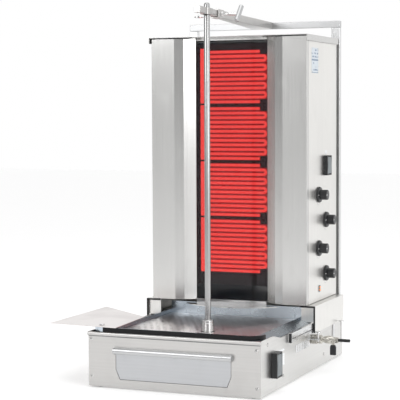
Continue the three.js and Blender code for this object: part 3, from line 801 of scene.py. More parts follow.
@dataclass
class Bench:
    """Turns shapes into finished pieces and dresses the frame's own nodes.

    Attributes:
        datum: Where the millimetres start.
        nodes: The frame's nodes by name.
        made: The names of the pieces made so far.
    """

    datum: Datum
    nodes: dict[str, bpy.types.Object]
    made: list[str] = field(default_factory=list)

    def piece(
        self,
        name: str,
        shape: Shape,
        finish: Finish,
        body: str,
        replaces: Sequence[str] = (),
        edge: float = 0.6,
        smooth: float = 35.0,
    ) -> bpy.types.Object:
        """Makes a piece from a shape.

        Args:
            name: The piece's name.
            shape: Its shape, which is used up.
            finish: What it wears.
            body: The body that it rides on.
            replaces: The frame's nodes that it hides.
            edge: Width of its softened edges in millimetres, or zero.
            smooth: Edges sharper than this many degrees stay crisp.

        Returns:
            The piece.
        """
        bm = shape.bm
        bmesh.ops.recalc_face_normals(bm, faces=bm.faces)
        bm.transform(self.datum.matrix())
        mesh = bpy.data.meshes.new(name)
        bm.to_mesh(mesh)
        bm.free()
        for polygon in mesh.polygons:
            polygon.use_smooth = True
        mesh.set_sharp_from_angle(angle=math.radians(smooth))
        mesh.materials.append(finish.material())
        made = bpy.data.objects.new(name, mesh)
        bpy.context.scene.collection.objects.link(made)
        if edge:
            self._soften(made, edge, smooth)
        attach(made, body)
        if replaces:
            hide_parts(*replaces)
        self.made.append(name)
        log.info("made %s on %s", name, body)
        return made

    def _soften(self, made: bpy.types.Object, width: float, smooth: float) -> None:
        """Rounds the sharp edges of an object by a width in millimetres."""
        bevel = made.modifiers.new("softened edges", "BEVEL")
        bevel.width = width * MM
        bevel.segments = 2
        bevel.limit_method = "ANGLE"
        bevel.angle_limit = math.radians(max(30.0, smooth))
        bevel.harden_normals = True

    def dress(self, name: str, finish: Finish, edge: float = 0.5) -> None:
        """Gives a node of the frame its finish and softened edges.

        Args:
            name: The node.
            finish: What it wears.
            edge: Width of its softened edges in millimetres, or zero.
        """
        node = self.nodes[name]
        for slot in node.material_slots:
            slot.link = "OBJECT"
            slot.material = finish.material()
        if edge:
            weld = node.modifiers.new("joined corners", "WELD")
            weld.merge_threshold = 0.00001
            self._soften(node, edge, 30.0)
        log.info("dressed %s in %s", name, finish.name)


# ---------------------------------------------------------------------- sub-assemblies


@dataclass
class Base:
    """The base: casing, front sheet, feet, vents and screws."""

    half: float = 280.0
    sheet: float = 2.0
    top: float = 168.0
    bead: float = 13.0
    opening: tuple[float, float] = (188.0, 175.0)
    opening_low: float = 25.0
    opening_bend: float = 56.0
    opening_top: float = 121.0
    front_screws: Outline = ((-270, 146), (-269, 31), (267, 140), (269, 28))
    side_screws: Outline = ((613, 33), (200, 33), (60, 150))
    vents: int = 8
    first_vent: float = 325.0
    vent_pitch: float = 18.0

    def build(self, bench: Bench) -> None:
        """Builds and dresses the base."""
        bench.dress("base_shell", Finishes.side)
        for node in ("foot_front_left", "foot_front_right", "foot_rear_left", "foot_rear_right"):
            self._foot(bench, node)
        self._front(bench)
        self._louvres(bench)
        self._screws(bench)

    def _foot(self, bench: Bench, node: str) -> None:
        """Replaces a foot by a ribbed rubber pad."""
        low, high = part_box(node)
        middle = (low + high) / 2
        at = bench.datum.matrix().inverted() @ middle
        profile = [
            (0, -4.0),
            (14.5, -4.0),
            (16, -3.2),
            (16, -1.2),
            (14.5, -0.9),
            (14.5, -0.35),
            (0, -0.35),
        ]
        shape = Shape().lathe(profile, (at.x, at.y, 0.0), Axis.Z, 32)
        bench.piece("pad_" + node, shape, Finishes.rubber, "base", (node,), 0.0)

    def _front(self, bench: Bench) -> None:
        """Replaces the front sheet: its opening for the drawer and its rolled top bead, with a dark strip
        under the bead as painted shadow.
        """
        wide, narrow = self.opening
        hole = [
            (-narrow, self.opening_low),
            (narrow, self.opening_low),
            (wide, self.opening_bend),
            (wide, self.opening_top),
            (-wide, self.opening_top),
            (-wide, self.opening_bend),
        ]
        half = self.half
        edge = [(-half, 0.0), (half, 0.0), (half, self.top - 2), (-half, self.top - 2)]
        shape = Shape().sheet(edge, [hole], 0.0, self.sheet, Axis.Y)
        radius = self.bead / 2
        middle = self.top - radius
        nose = arc(self.sheet, middle, radius, 90, 270, 24)
        shape.prism(nose, -half - 2, half + 2, Axis.X)
        bench.piece("front_sheet", shape, Finishes.front, "base", ("front_panel",), 0.5)
        under = self.top - self.bead
        # Painted shadow: a thin dark strip just under the bead.
        painted_bead_shadow = Shape().box((-half + 1, half - 1), (-0.35, 0.0), (under - 1.0, under + 0.2))
        bench.piece("bead_shadow_line", painted_bead_shadow, Finishes.motor, "base", (), 0.0)

    def _louvres(self, bench: Bench) -> None:
        """Adds the pressed hoods over the vent slots of the right wall."""
        shape = Shape()
        x = self.half
        for i in range(self.vents):
            y = self.first_vent + self.vent_pitch * i
            hood = [(x, y - 2.5), (x + 2.6, y + 3.0), (x + 2.6, y + 4.0), (x, y + 5.5)]
            shape.prism(hood, 83.0, 109.0, Axis.Z)
        bench.piece("vent_hoods", shape, Finishes.frame, "base", (), 0.5)
        screen = Shape().box((x - 3.4, x - 2.4), (318.0, 462.0), (80.0, 112.0))
        bench.piece("vent_screen", screen, Finishes.rubber, "base", (), 0.0)

    def _screws(self, bench: Bench) -> None:
        """Adds the pan-head screws of the front sheet and the right wall."""
        dome = [(0, -2.4), (2.6, -2.2), (4.4, -1.5), (5.4, -0.3), (5.4, 0.0), (0, 0.0)]
        shape = Shape()
        for x, z in self.front_screws:
            shape.lathe(dome, (x, 0.0, z), Axis.Y, 24)
        bench.piece("front_screws", shape, Finishes.zinc, "base", (), 0.0)
        slots = Shape()
        for x, z in self.front_screws:
            slots.box((x - 2.6, x + 2.6), (-2.46, -2.0), (z - 0.4, z + 0.4))
            slots.box((x - 0.4, x + 0.4), (-2.46, -2.0), (z - 2.6, z + 2.6))
        bench.piece("front_screw_slots", slots, Finishes.black, "base", (), 0.0)
        side = Shape()
        for y, z in self.side_screws:
            side.lathe([(r, -h) for r, h in dome], (self.half, y, z), Axis.X, 24)
        bench.piece("side_screws", side, Finishes.zinc, "base", (), 0.0)


@dataclass
class Drawer:
    """The fat drawer: chamfered front, folded tray and the rolled handle over its top."""

    wide: float = 187.0
    narrow: float = 174.0
    low: float = 26.0
    bend: float = 56.0
    top: float = 120.0
    box_half: float = 168.0
    box_depth: float = 205.0
    box_top: float = 105.0
    handle_half: float = 192.5
    handle_low: float = 101.0
    handle_high: float = 124.0
    proud: float = 15.9

    def build(self, bench: Bench) -> None:
        """Builds and dresses the drawer."""
        front = [
            (-self.narrow, self.low),
            (self.narrow, self.low),
            (self.wide, self.bend),
            (self.wide, self.top),
            (-self.wide, self.top),
            (-self.wide, self.bend),
        ]
        shape = Shape().prism(front, 0.0, 2.0, Axis.Y)
        bench.piece(
            "drawer_front", shape, Finishes.drawer, "fat_drawer", ("fat_drawer",), 0.7
        )
        self._tray(bench)
        self._handle(bench)
        bench.dress("drawer_cradle", Finishes.casing)

    def _tray(self, bench: Bench) -> None:
        """Adds the tray behind the front."""
        half, low, top = self.box_half, self.low + 2.3, self.box_top
        channel = [
            (-half, top),
            (-half, low),
            (half, low),
            (half, top),
            (half - 2, top),
            (half - 2, low + 2),
            (-half + 2, low + 2),
            (-half + 2, top),
        ]
        shape = Shape().prism(channel, 2.0, self.box_depth, Axis.Y)
        shape.box((-half + 2, half - 2), (self.box_depth - 2, self.box_depth), (low + 2, top))
        bench.piece("drawer_tray", shape, Finishes.drawer, "fat_drawer", (), 0.4)

    def _handle(self, bench: Bench) -> None:
        """Adds the handle: a sheet rolled over forward, open below."""
        radius = (self.handle_high - self.handle_low) / 2
        middle = self.handle_low + radius
        nose = -self.proud + radius
        outer = arc(nose, middle, radius, 90, 225, 22)
        inner = arc(nose, middle, radius - 2.4, 225, 90, 22)
        hood = [(-0.3, self.handle_high), *outer, *inner, (-0.3, self.handle_high - 2.4)]
        length = self.handle_half
        shape = Shape().prism(hood, -length, length, Axis.X)
        shape.box((-length, length), (-2.6, -0.3), (self.handle_low + 6, self.handle_high - 1.0))
        bench.piece("drawer_handle", shape, Finishes.handle, "fat_drawer", (), 0.5)
        ends = Shape()
        cap = arc(nose, middle, radius - 0.6, 90, 270, 14)
        cap += [(-0.6, self.handle_low + 1), (-0.6, self.handle_high - 0.6)]
        for side in (-1, 1):
            ends.prism(cap, side * (length - 4), side * (length - 2.2), Axis.X)
        bench.piece("handle_end_caps", ends, Finishes.handle, "fat_drawer", (), 0.4)


@dataclass
class DripPan:
    """The drip pan with its dished strainer, its dark front band and the socket's clearance.

    Attributes:
        half: Half width of the strainer.
        front: Its front edge.
        back: Its back edge.
        border: Height of its border.
        centre: Height of its middle.
        spit_y: The spit's place from front to back.
        hub: Half width of the flat middle.
    """

    half: float = 233.5
    front: float = 7.8
    back: float = 539.5
    border: float = 156.0
    centre: float = 141.0
    spit_y: float = 284.0
    hub: float = 40.0
    across: int = 40
    ahead: int = 24
    behind: int = 23

    def build(self, bench: Bench) -> None:
        """Builds and dresses the pan."""
        bench.dress("drip_pan", Finishes.pan, 0.8)
        # The pan's front band is painted glossy near-black.
        bench.dress("front_lip", Finishes.gloss, 1.2)
        self._strainer(bench)

    def _height(self, x: float, y: float) -> float:
        """The strainer's height over a point: four slopes that run down to its middle."""
        run_x = (abs(x) - self.hub) / (self.half - self.hub)
        run_y = (y - self.spit_y - self.hub) / (self.back - self.spit_y - self.hub)
        if y < self.spit_y:
            run_y = (self.spit_y - self.hub - y) / (self.spit_y - self.hub - self.front)
        first, second = max(run_x, 0.0), max(run_y, 0.0)
        spread = 0.05
        most = max(first, second)
        ease = max(0.0, spread - abs(first - second)) ** 2 / (4 * spread)
        return self.centre + (self.border - self.centre) * min(1.0, most + ease * (1 - most))

    def _lattice(self, i: int, j: int) -> Vector:
        """The point of the lattice at column i and row j, both counted from the spit."""
        x = self.half * i / self.across
        if j < 0:
            y = self.spit_y + (self.spit_y - self.front) * j / self.ahead
        else:
            y = self.spit_y + (self.back - self.spit_y) * j / self.behind
        return Vector((x, y, self._height(x, y)))

    def _ring_cell(
        self,
        shape: Shape,
        corner: tuple[int, int],
        size: tuple[int, int],
        hole: tuple[float, float],
    ) -> None:
        """Adds a cell of the strainer with a rounded hole in its middle.

        Args:
            shape: The strainer's shape.
            corner: The cell's lowest column and row.
            size: Its columns and rows of the lattice.
            hole: Half length and half width of its hole.
        """
        i, j = corner
        wide, deep = size
        border = [(i + k, j) for k in range(wide)]
        border += [(i + wide, j + k) for k in range(deep)]
        border += [(i + wide - k, j + deep) for k in range(wide)]
        border += [(i, j + deep - k) for k in range(deep)]
        outer = [self._lattice(*place) for place in border]
        middle = (self._lattice(i, j) + self._lattice(i + wide, j + deep)) / 2
        long, short = hole
        inner = []
        for point in outer:
            away = point - middle
            angle = math.atan2(away.y, away.x)
            straight = max(-1.0, min(1.0, 1.6 * math.cos(angle)))
            x = middle.x + (long - short) * straight + short * math.cos(angle)
            y = middle.y + short * math.sin(angle)
            inner.append(Vector((x, y, self._height(x, y))))
        shape.bridge(shape.ring(outer), shape.ring(inner))

    def _strainer(self, bench: Bench) -> None:
        """Replaces the strainer by a sheet with staggered slots and a folded border."""
        shape = Shape()
        used: set[tuple[int, int]] = set()
        self._ring_cell(shape, (-5, -3), (10, 6), (23.0, 23.0))
        used.update((i, j) for i in range(-5, 5) for j in range(-3, 3))
        for row, j in enumerate(range(-self.ahead + 1, self.behind - 2, 2)):
            shift = 2 if row % 2 else 0
            for i in range(-self.across + 2 + shift, self.across - 5, 4):
                cells = {(i + a, j + b) for a in range(4) for b in range(2)}
                if cells & used:
                    continue
                used |= cells
                self._ring_cell(shape, (i, j), (4, 2), (6.2, 2.6))
        for i in range(-self.across, self.across):
            for j in range(-self.ahead, self.behind):
                if (i, j) in used:
                    continue
                corners = [(i, j), (i + 1, j), (i + 1, j + 1), (i, j + 1)]
                shape.bm.faces.new(shape.ring(self._lattice(*c) for c in corners))
        bmesh.ops.remove_doubles(shape.bm, verts=shape.bm.verts, dist=0.01)
        rim = [e for e in shape.bm.edges if e.is_boundary and self._on_border(e)]
        grown = bmesh.ops.extrude_edge_only(shape.bm, edges=rim)
        low = [g for g in grown["geom"] if isinstance(g, bmesh.types.BMVert)]
        for vertex in low:
            vertex.co.z = 126.6
        bmesh.ops.recalc_face_normals(shape.bm, faces=shape.bm.faces)
        bmesh.ops.solidify(shape.bm, geom=shape.bm.faces[:], thickness=1.2)
        bmesh.ops.recalc_face_normals(shape.bm, faces=shape.bm.faces)
        bench.piece(
            "strainer_sheet",
            shape,
            Finishes.strainer,
            "base",
            ("strainer_plate",),
            0.0,
            40.0,
        )

    def _on_border(self, edge: bmesh.types.BMEdge) -> bool:
        """Whether an edge lies on the strainer's outer border."""
        def outside(vertex: bmesh.types.BMVert) -> bool:
            """Whether a vertex lies on the border."""
            x, y = vertex.co.x, vertex.co.y
            return abs(abs(x) - self.half) < 0.01 or min(abs(y - self.front), abs(y - self.back)) < 0.01

        return all(outside(v) for v in edge.verts)


@dataclass
class SpitDrive:
    """The spit with its socket, and the drive below the pan."""

    y: float = 284.0
    radius: float = 9.5
    foot: float = 150.0
    tip: float = 1177.0

    def build(self, bench: Bench) -> None:
        """Builds and dresses the spit and its drive."""
        rod = [
            (0, self.foot),
            (self.radius, self.foot),
            (self.radius, self.tip - 7),
            (self.radius - 1.2, self.tip - 3),
            (5.5, self.tip - 0.6),
            (0, self.tip),
        ]
        shape = Shape().lathe(rod, (0, self.y, 0), Axis.Z, 48)
        bench.piece("spit_bar", shape, Finishes.rod, "spit", ("spit_rod",), 0.0)
        cup = [
            (0, 22.0),
            (7.9, 22.0),
            (7.9, 131.0),
            (16.8, 131.0),
            (18, 132.4),
            (18, 168.0),
            (17.2, 169.0),
            (17.2, 171.0),
            (18, 172.0),
            (18, 176.6),
            (16.8, 178.0),
            (9.9, 178.0),
            (9.9, 150.2),
            (0, 150.2),
        ]
        shape = Shape().lathe(cup, (0, self.y, 0), Axis.Z, 48)
        bench.piece("spit_socket", shape, Finishes.bright, "spit", ("drive_socket",), 0.0)
        pin = Shape().lathe([(0, 0), (2.4, 0.2), (2.4, 1.0), (0, 1.4)], (17.4, self.y, 152), Axis.X, 20)
        bench.piece("socket_pin", pin, Finishes.zinc, "spit", (), 0.0)
        for node in ("drive_housing", "drive_cover", "drive_gear", "motor_pinion"):
            bench.dress(node, Finishes.cast, 0.3 if node in ("drive_gear", "motor_pinion") else 0.8)
        bench.dress("drive_motor", Finishes.motor, 0.6)


@dataclass
class RearFrame:
    """The rear frame and the adjustable arm that steadies the spit's top."""

    tilt: float = 0.034
    origin: Point = (0.0, 801.5, 1131.5)
    clamp_along: float = 430.0
    screw_along: float = 582.0
    reach: float = 74.0
    lean: float = 0.72

    def build(self, bench: Bench) -> None:
        """Builds and dresses the frame and the arm."""
        for node in ("post_left", "post_right"):
            bench.dress(node, Finishes.frame, 2.0)
        bench.dress("crossbar", Finishes.bar, 1.6)
        bench.dress("arm_sleeve", Finishes.arm, 1.0)
        bench.dress("arm_bar", Finishes.arm, 1.0)
        self._clamp(bench)
        self._screw(bench)

    def _along(self) -> Matrix:
        """Carries the arm's own axes, with -Y forward along it, into the datum's."""
        return Matrix.Translation(Vector(self.origin)) @ Matrix.Rotation(-self.tilt, 4, "X")

    def _clamp(self, bench: Bench) -> None:
        """Replaces the clamp: its threaded rod, nut and T handle with rounded ends."""
        shape = Shape().lathe(
            [(0, 10.6), (3.6, 10.6), (4, 11.2), (4, 40), (5.6, 41), (5.6, self.reach), (0, self.reach)],
            (0, -self.clamp_along, 0),
            Axis.X,
            28,
        )
        shape.lathe([(0, 14.6), (8.2, 14.6), (8.2, 20.0), (0, 20.0)], (0, -self.clamp_along, 0), Axis.X, 6)
        bar = Shape()
        half = 35.0
        ends = [
            (0, -half),
            (5.4, -half + 0.5),
            (7.9, -half + 3),
            (7.9, half - 3),
            (5.4, half - 0.5),
            (0, half),
        ]
        bar.lathe(ends, (0, 0, 0), Axis.Z, 28)
        bar.placed(
            Matrix.Translation(Vector((self.reach, -self.clamp_along, 0)))
            @ Matrix.Rotation(-self.lean, 4, "X")
        )
        shape.placed(self._along())
        bar.placed(self._along())
        bench.piece(
            "clamp_rod", shape, Finishes.bright, "arm_clamp", ("arm_clamp_handle",), 0.0
        )
        bench.piece("clamp_bar", bar, Finishes.handle, "arm_clamp", (), 0.0)
        ring = [(7.5, 13.9), (7.5, 14.4), (4.5, 14.4), (4.5, 13.9)]
        boss = Shape().lathe(ring, (0, -self.clamp_along, 0), Axis.X, 24)
        boss.placed(self._along())
        bench.piece("clamp_boss", boss, Finishes.bright, "base", (), 0.0)

    def _screw(self, bench: Bench) -> None:
        """Replaces the knurled screw under the arm's front end."""
        low = 26.0
        disk = [
            (0, -low),
            (14.0, -low),
            (15, -low + 0.6),
            (15, -low + 2.5),
            (14.2, -low + 3.1),
            (5, -low + 3.1),
            (4.4, -low + 5),
            (3.0, -low + 6),
            (3.0, -4.2),
            (0, -4.2),
        ]
        shape = Shape().lathe(disk, (0, -self.screw_along, 0), Axis.Z, 40).placed(self._along())
        bench.piece(
            "arm_disk_screw", shape, Finishes.bright, "arm_screw", ("arm_screw",), 0.0
        )


@dataclass
class Rails:
    """The guide rails, their lock pins and the drain valve on the right wall."""

    x: float = 280.3
    out: float = 10.0
    low: float = 125.0
    high: float = 156.0

    def build(self, bench: Bench) -> None:
        """Builds and dresses the rails and the valve."""
        bench.dress("rail_left", Finishes.frame, 1.5)
        bench.dress("rail_right", Finishes.frame, 1.5)
        self._rail_details(bench)
        for node, y, low in (("lock_pin_front", 462.0, 98.0), ("lock_pin_rear", 718.0, 54.0)):
            head = [
                (0, low),
                (2.2, low),
                (3, low + 1.2),
                (3, 128.0),
                (8.6, 128.0),
                (10, 129.2),
                (9.6, 131.2),
                (6.5, 132.6),
                (0, 133.0),
            ]
            shape = Shape().lathe(head, (309.0, y, 0), Axis.Z, 32)
            bench.piece(node + "_turned", shape, Finishes.bright, node, (node,), 0.0)
        self._valve(bench)

    def _rail_details(self, bench: Bench) -> None:
        """Adds the right rail's dark end plug, running groove and its stop screw."""
        outer = self.x + self.out
        plug = Shape().box((self.x + 1, outer + 0.25), (248.9, 252.5), (self.low + 1.0, self.high - 1.0))
        bench.piece("rail_end_plug", plug, Finishes.black, "base", (), 0.6)
        groove = Shape().box((outer - 0.2, outer + 0.15), (256.0, 796.0), (self.low + 11.5, self.low + 14.0))
        bench.piece("rail_groove", groove, Finishes.black, "base", (), 0.0)
        stop = Shape().lathe([(0, 1.4), (3.0, 1.2), (4.2, 0.1), (0, 0.0)], (outer, 300.0, 137.0), Axis.X, 24)
        bench.piece("rail_stop_screw", stop, Finishes.zinc, "base", (), 0.0)

    def _valve(self, bench: Bench) -> None:
        """Replaces the drain valve: gland block, flange, ball body, spout and lever."""
        y, z = 486.0, 103.0
        block = Shape().box((280.3, 302.0), (y - 13, y + 13), (z - 14, z + 14))
        bench.piece("valve_gland", block, Finishes.nickel, "base", (), 2.0)
        turned = [
            (0, 300.5),
            (11.0, 301.0),
            (13.6, 303.0),
            (14, 305.0),
            (14, 313.0),
            (11.5, 315.5),
            (9.0, 317.0),
            (9.0, 322.0),
            (10.4, 323.0),
            (12.6, 331.0),
            (13.0, 340.0),
            (12.2, 348.0),
            (9.4, 354.0),
            (9.4, 358.5),
            (0, 358.5),
        ]
        shape = Shape().lathe(turned, (0, y, z), Axis.X, 36)
        shape.lathe([(0, 352), (10.6, 352), (10.6, 364), (9.2, 369.6), (0, 369.6)], (0, y, z), Axis.X, 6)
        shape.lathe([(0, -18.6), (5.2, -18.6), (6, -17.4), (6, -5), (0, -5)], (358.0, y, z), Axis.Y, 24)
        bench.piece("valve_body", shape, Finishes.nickel, "base", ("drain_valve",), 0.4)
        hose = [
            (0, 369.0),
            (5.0, 369.0),
            (5.0, 403.5),
            (5.0, 405.6),
            (4.2, 407.0),
            (3.0, 407.0),
            (3.0, 400.0),
            (0, 400.0),
        ]
        spout = Shape().lathe(hose, (0, y, z), Axis.X, 28)
        bench.piece("valve_spout", spout, Finishes.rubber, "base", ("drain_spout",), 0.0)
        stem = Shape().box((353.0, 363.0), (462.0, 466.6), (z - 20, z + 6))
        bench.piece("lever_neck", stem, Finishes.nickel, "drain_lever", (), 1.2)
        grip = [(-10, 58), (10, 58), (10.0, 84), (7.2, 91), (-7.2, 91), (-10.0, 84)]
        paddle = Shape().prism([(358 + u, v) for u, v in grip], 459.5, 466.6, Axis.Y)
        bench.piece(
            "lever_grip", paddle, Finishes.black, "drain_lever", ("drain_lever",), 2.0
        )


@dataclass
class Switch:
    """A rocker switch in its box on a wall that faces +X.

    Attributes:
        prefix: The names of its nodes start with this.
        body: The body that carries the box.
        wall: The wall's place.
        y: Its middle.
        z: Its middle's height.
        width: The box from front to back.
        height: The box's height.
        depth: How far it stands out.
    """

    prefix: str
    body: str
    wall: float
    y: float
    z: float
    width: float
    height: float
    depth: float

    def build(self, bench: Bench) -> None:
        """Builds the switch."""
        x0 = self.wall + 0.3
        x1 = x0 + self.depth
        half, rise = self.width / 2, self.height / 2
        outline = self._rounded(half, rise, 3.0)
        pocket = self._rounded(half - 4.0, rise - 4.0, 1.5)
        shape = Shape().sheet(outline, [pocket], x1 - 6.0, x1, Axis.X)
        shape.prism(outline, x0, x1 - 6.0, Axis.X)
        node = self.prefix + "_switch_box"
        bench.piece(node + "_moulded", shape, Finishes.black, self.body, (node,), 0.7)
        bench.dress(self.prefix + "_rocker", Finishes.grey, 1.2)

    def _rounded(self, half: float, rise: float, radius: float) -> list[tuple[float, float]]:
        """A rounded rectangle about the switch's middle, as (y, z) points."""
        points = []
        for side, up, start in ((1, 1, 0), (-1, 1, 90), (-1, -1, 180), (1, -1, 270)):
            centre = (self.y + side * (half - radius), self.z + up * (rise - radius))
            points += arc(*centre, radius, start, start + 90, 5)
        return points


@dataclass
class Shelf:
    """The thin side shelf on its pivot."""

    def build(self, bench: Bench) -> None:
        """Dresses the shelf."""
        bench.dress("side_shelf", Finishes.shelf, 0.6)
        bench.dress("shelf_pivot", Finishes.bright, 0.4)


@dataclass
class Cabinet:
    """The heater cabinet: saddles, folded wings, panels, roof, glass and heating zones.

    Attributes:
        side: The right side's face.
        zones: The number of heating zones.
        first: Height of the top zone's middle.
        pitch: The step from one zone to the next.
        runs: The runs of wire in a zone.
        run_pitch: The step from one run to the next.
        wire: Radius of the wire.
        left: Where the runs turn back on the left.
        right: Where they turn back on the right.
        wire_y: The wire's place from front to back.
        short: How far the first and last runs end before the right turns.
        steps: The pieces that a run is drawn in.
        knobs: The knobs' places, as (y, z).
    """

    side: float = 270.0
    zones: int = 4
    first: float = 950.0
    pitch: float = 186.0
    runs: int = 12
    run_pitch: float = 14.9
    wire: float = 4.6
    left: float = -111.5
    right: float = 114.0
    wire_y: float = 509.5
    short: float = 22.0
    steps: int = 9
    knobs: Outline = ((588, 563), (667, 476), (588, 387), (667, 297))

    def build(self, bench: Bench) -> None:
        """Builds and dresses the cabinet."""
        for node in ("wing_left", "wing_right", "side_panel_left", "back_panel", "roof_cap"):
            bench.dress(node, Finishes.casing, 0.7)
        for node in ("saddle_left", "saddle_right"):
            bench.dress(node, Finishes.controls, 0.7)
        bench.dress("control_panel", Finishes.controls, 0.5)
        bench.dress("sill_strip", Finishes.bright, 0.8)
        for node in ("edging_left", "edging_right"):
            bench.dress(node, Finishes.rubber, 0.6)
        bench.dress("glass_front", Finishes.glass, 0.0)
        self._closures(bench)
        self._board(bench)
        for i in range(self.zones):
            self._zone(bench, i)
        self._knobs(bench)
        self._lamps(bench)
        self._labels(bench)
        self._rear_details(bench)

    def _closures(self, bench: Bench) -> None:
        """Adds the saddles' webs, the cabinet's floor and a dark strip under the roof's front edge as painted
        shadow.
        """
        webs = Shape().box((-293.5, -247.6), (474.0, 475.2), (157.5, 208.0))
        webs.box((247.6, 293.5), (474.0, 475.2), (157.5, 208.0))
        bench.piece("saddle_webs", webs, Finishes.controls, "heater_cabinet", (), 0.3)
        floor = Shape().box((-267.0, 267.0), (503.0, 782.0), (212.6, 214.0))
        bench.piece("cabinet_floor", floor, Finishes.casing, "heater_cabinet", (), 0.3)
        # Painted shadow: a dark strip under the roof's front edge, over the wings.
        roof_shadow = Shape().box((-269.0, -122.0), (457.0, 459.4), (1076.0, 1079.1))
        roof_shadow.box((122.0, 269.0), (457.0, 459.4), (1076.0, 1079.1))
        bench.piece("roof_shadow_strip", roof_shadow, Finishes.rubber, "heater_cabinet", (), 0.3)

    def _board(self, bench: Bench) -> None:
        """Dresses the insulating board, with the runs' glow painted on it where the zones are."""
        d = bench.datum
        finish = PaintedGlowBoard(
            "board with painted glow",
            left=d.spot(self.left - 4, 0, 0).x,
            right=d.spot(self.right - 2, 0, 0).x,
            first=d.spot(0, 0, self.first).z,
            pitch=self.pitch * MM,
            half_height=((self.runs - 1) / 2 * self.run_pitch + self.wire) * MM,
            zones=self.zones,
            face=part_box("insulation_board")[0].y,
        )
        bench.dress("insulation_board", finish, 0.0)

    def _zone(self, bench: Bench, index: int) -> None:
        """Replaces one zone's element by a wire that runs to and fro with round turns."""
        middle = self.first - index * self.pitch
        heights = [middle + ((self.runs - 1) / 2 - i) * self.run_pitch for i in range(self.runs)]
        bend = self.run_pitch / 2
        path: list[Vector] = [Vector((self.right - self.short, self.wire_y, heights[0]))]
        for i, z in enumerate(heights):
            leftward = i % 2 == 0
            x = self.left + bend if leftward else self.right - bend
            if i == self.runs - 1:
                path.append(Vector((self.right - self.short, self.wire_y, z)))
                break
            for step in range(self.steps):
                onward = path[-1].x + (x - path[-1].x) * (step + 1) / self.steps
                path.append(Vector((onward, self.wire_y, z)))
            turn = arc(x, z - bend, bend, 90, 270, 8)
            side = 1 if leftward else -1
            path += [Vector((x + side * (u - x), self.wire_y, v)) for u, v in turn[1:]]
        shape = Shape().tube(path, self.wire, 10)
        # Painted glow: a flat strip over the left turns wears the wire's glowing finish.
        reach = (self.runs - 1) / 2 * self.run_pitch + self.wire
        shape.box((self.left - 0.5, self.left + 12.0), (501.6, 503.2), (middle - reach, middle + reach + 7.0))
        node = "heater_" + str(index + 1)
        bench.piece(
            node + "_wire", shape, Finishes.wire, "heater_cabinet", (node,), 0.0, 60.0
        )

    def _knobs(self, bench: Bench) -> None:
        """Replaces the four knobs: skirt, fluted barrel, white pointer and the ring of marks."""
        for index, (y, z) in enumerate(self.knobs, 1):
            x = self.side + 0.3
            body = f"knob_{index}"
            skirt = [(0, 0), (25.4, 0), (26, 0.8), (26, 3.4), (24.6, 6.2), (21.0, 7.8), (0, 8.0)]
            shape = Shape().lathe(skirt, (x, y, z), Axis.X, 48)
            bench.piece(f"{body}_skirt", shape, Finishes.black, body, (body,), 0.0)
            flutes = [
                (y + r * math.cos(math.radians(t)), z + r * math.sin(math.radians(t)))
                for t, r in ((7.5 * k, 16.4 if k % 4 else 15.5) for k in range(48))
            ]
            bar = Shape().prism(flutes, x + 6.0, x + 31.0, Axis.X)
            bench.piece(f"{body}_barrel", bar, Finishes.black, body, (), 0.9, 40.0)
            line = Shape().box((x + 6.6, x + 8.25), (y - 25.2, y - 20.8), (z - 0.9, z + 0.9))
            line.box((x + 30.8, x + 31.3), (y - 14, y - 4), (z - 0.8, z + 0.8))
            bench.piece(f"{body}_pointer", line, Finishes.white, body, (), 0.0)
            marks = Shape()
            for step in range(11):
                angle = math.radians(150 + step * 24)
                at = (self.side, y + 33 * math.cos(angle), z + 33 * math.sin(angle))
                marks.lathe([(0, 0.1), (1.1, 0.1), (1.1, 0.35), (0, 0.4)], at, Axis.X, 10)
            bench.piece(f"{body}_marks", marks, Finishes.grey, "heater_cabinet", (), 0.0)

    def _lamps(self, bench: Bench) -> None:
        """Replaces the lamp by a bezel with two small lenses."""
        x = self.side + 0.3
        bezel = Shape().box((x, x + 1.4), (589.0, 603.0), (242.0, 264.0))
        bench.piece("lamp_bezel", bezel, Finishes.grey, "heater_cabinet", (), 0.5)
        lenses = Shape()
        for z in (257.5, 248.5):
            lenses.lathe([(0, 1.0), (3.2, 1.0), (3.2, 2.6), (2.2, 3.6), (0, 4.0)], (x, 596.0, z), Axis.X, 24)
        bench.piece(
            "lamp_lenses", lenses, Finishes.lens, "heater_cabinet", ("indicator_lamp",), 0.0
        )

    def _labels(self, bench: Bench) -> None:
        """Adds the rating plate with its rivets, and the small tags."""
        x = self.side
        plate = Shape().box((x, x + 0.5), (512.0, 580.0), (960.0, 1041.0))
        bench.piece("rating_plate", plate, Finishes.plate, "heater_cabinet", (), 0.0)
        rivets = Shape()
        for y, z in ((515, 1038), (577, 1038), (515, 963), (577, 963)):
            rivets.lathe([(0, 1.3), (1.4, 1.1), (2.0, 0.4), (0, 0.4)], (x, y, z), Axis.X, 16)
        bench.piece("plate_rivets", rivets, Finishes.zinc, "heater_cabinet", (), 0.0)
        tag = Shape().box((280.0, 280.35), (177.0, 212.0), (66.0, 101.0))
        tag.box((280.0, 280.35), (165.0, 212.0), (110.0, 116.0))
        bench.piece("motor_tags", tag, Finishes.tag, "base", (), 0.0)
        tab = Shape().box((x, x + 0.4), (655.0, 678.0), (694.0, 706.0))
        bench.piece("switch_tab", tab, Finishes.tag, "heater_cabinet", (), 0.0)

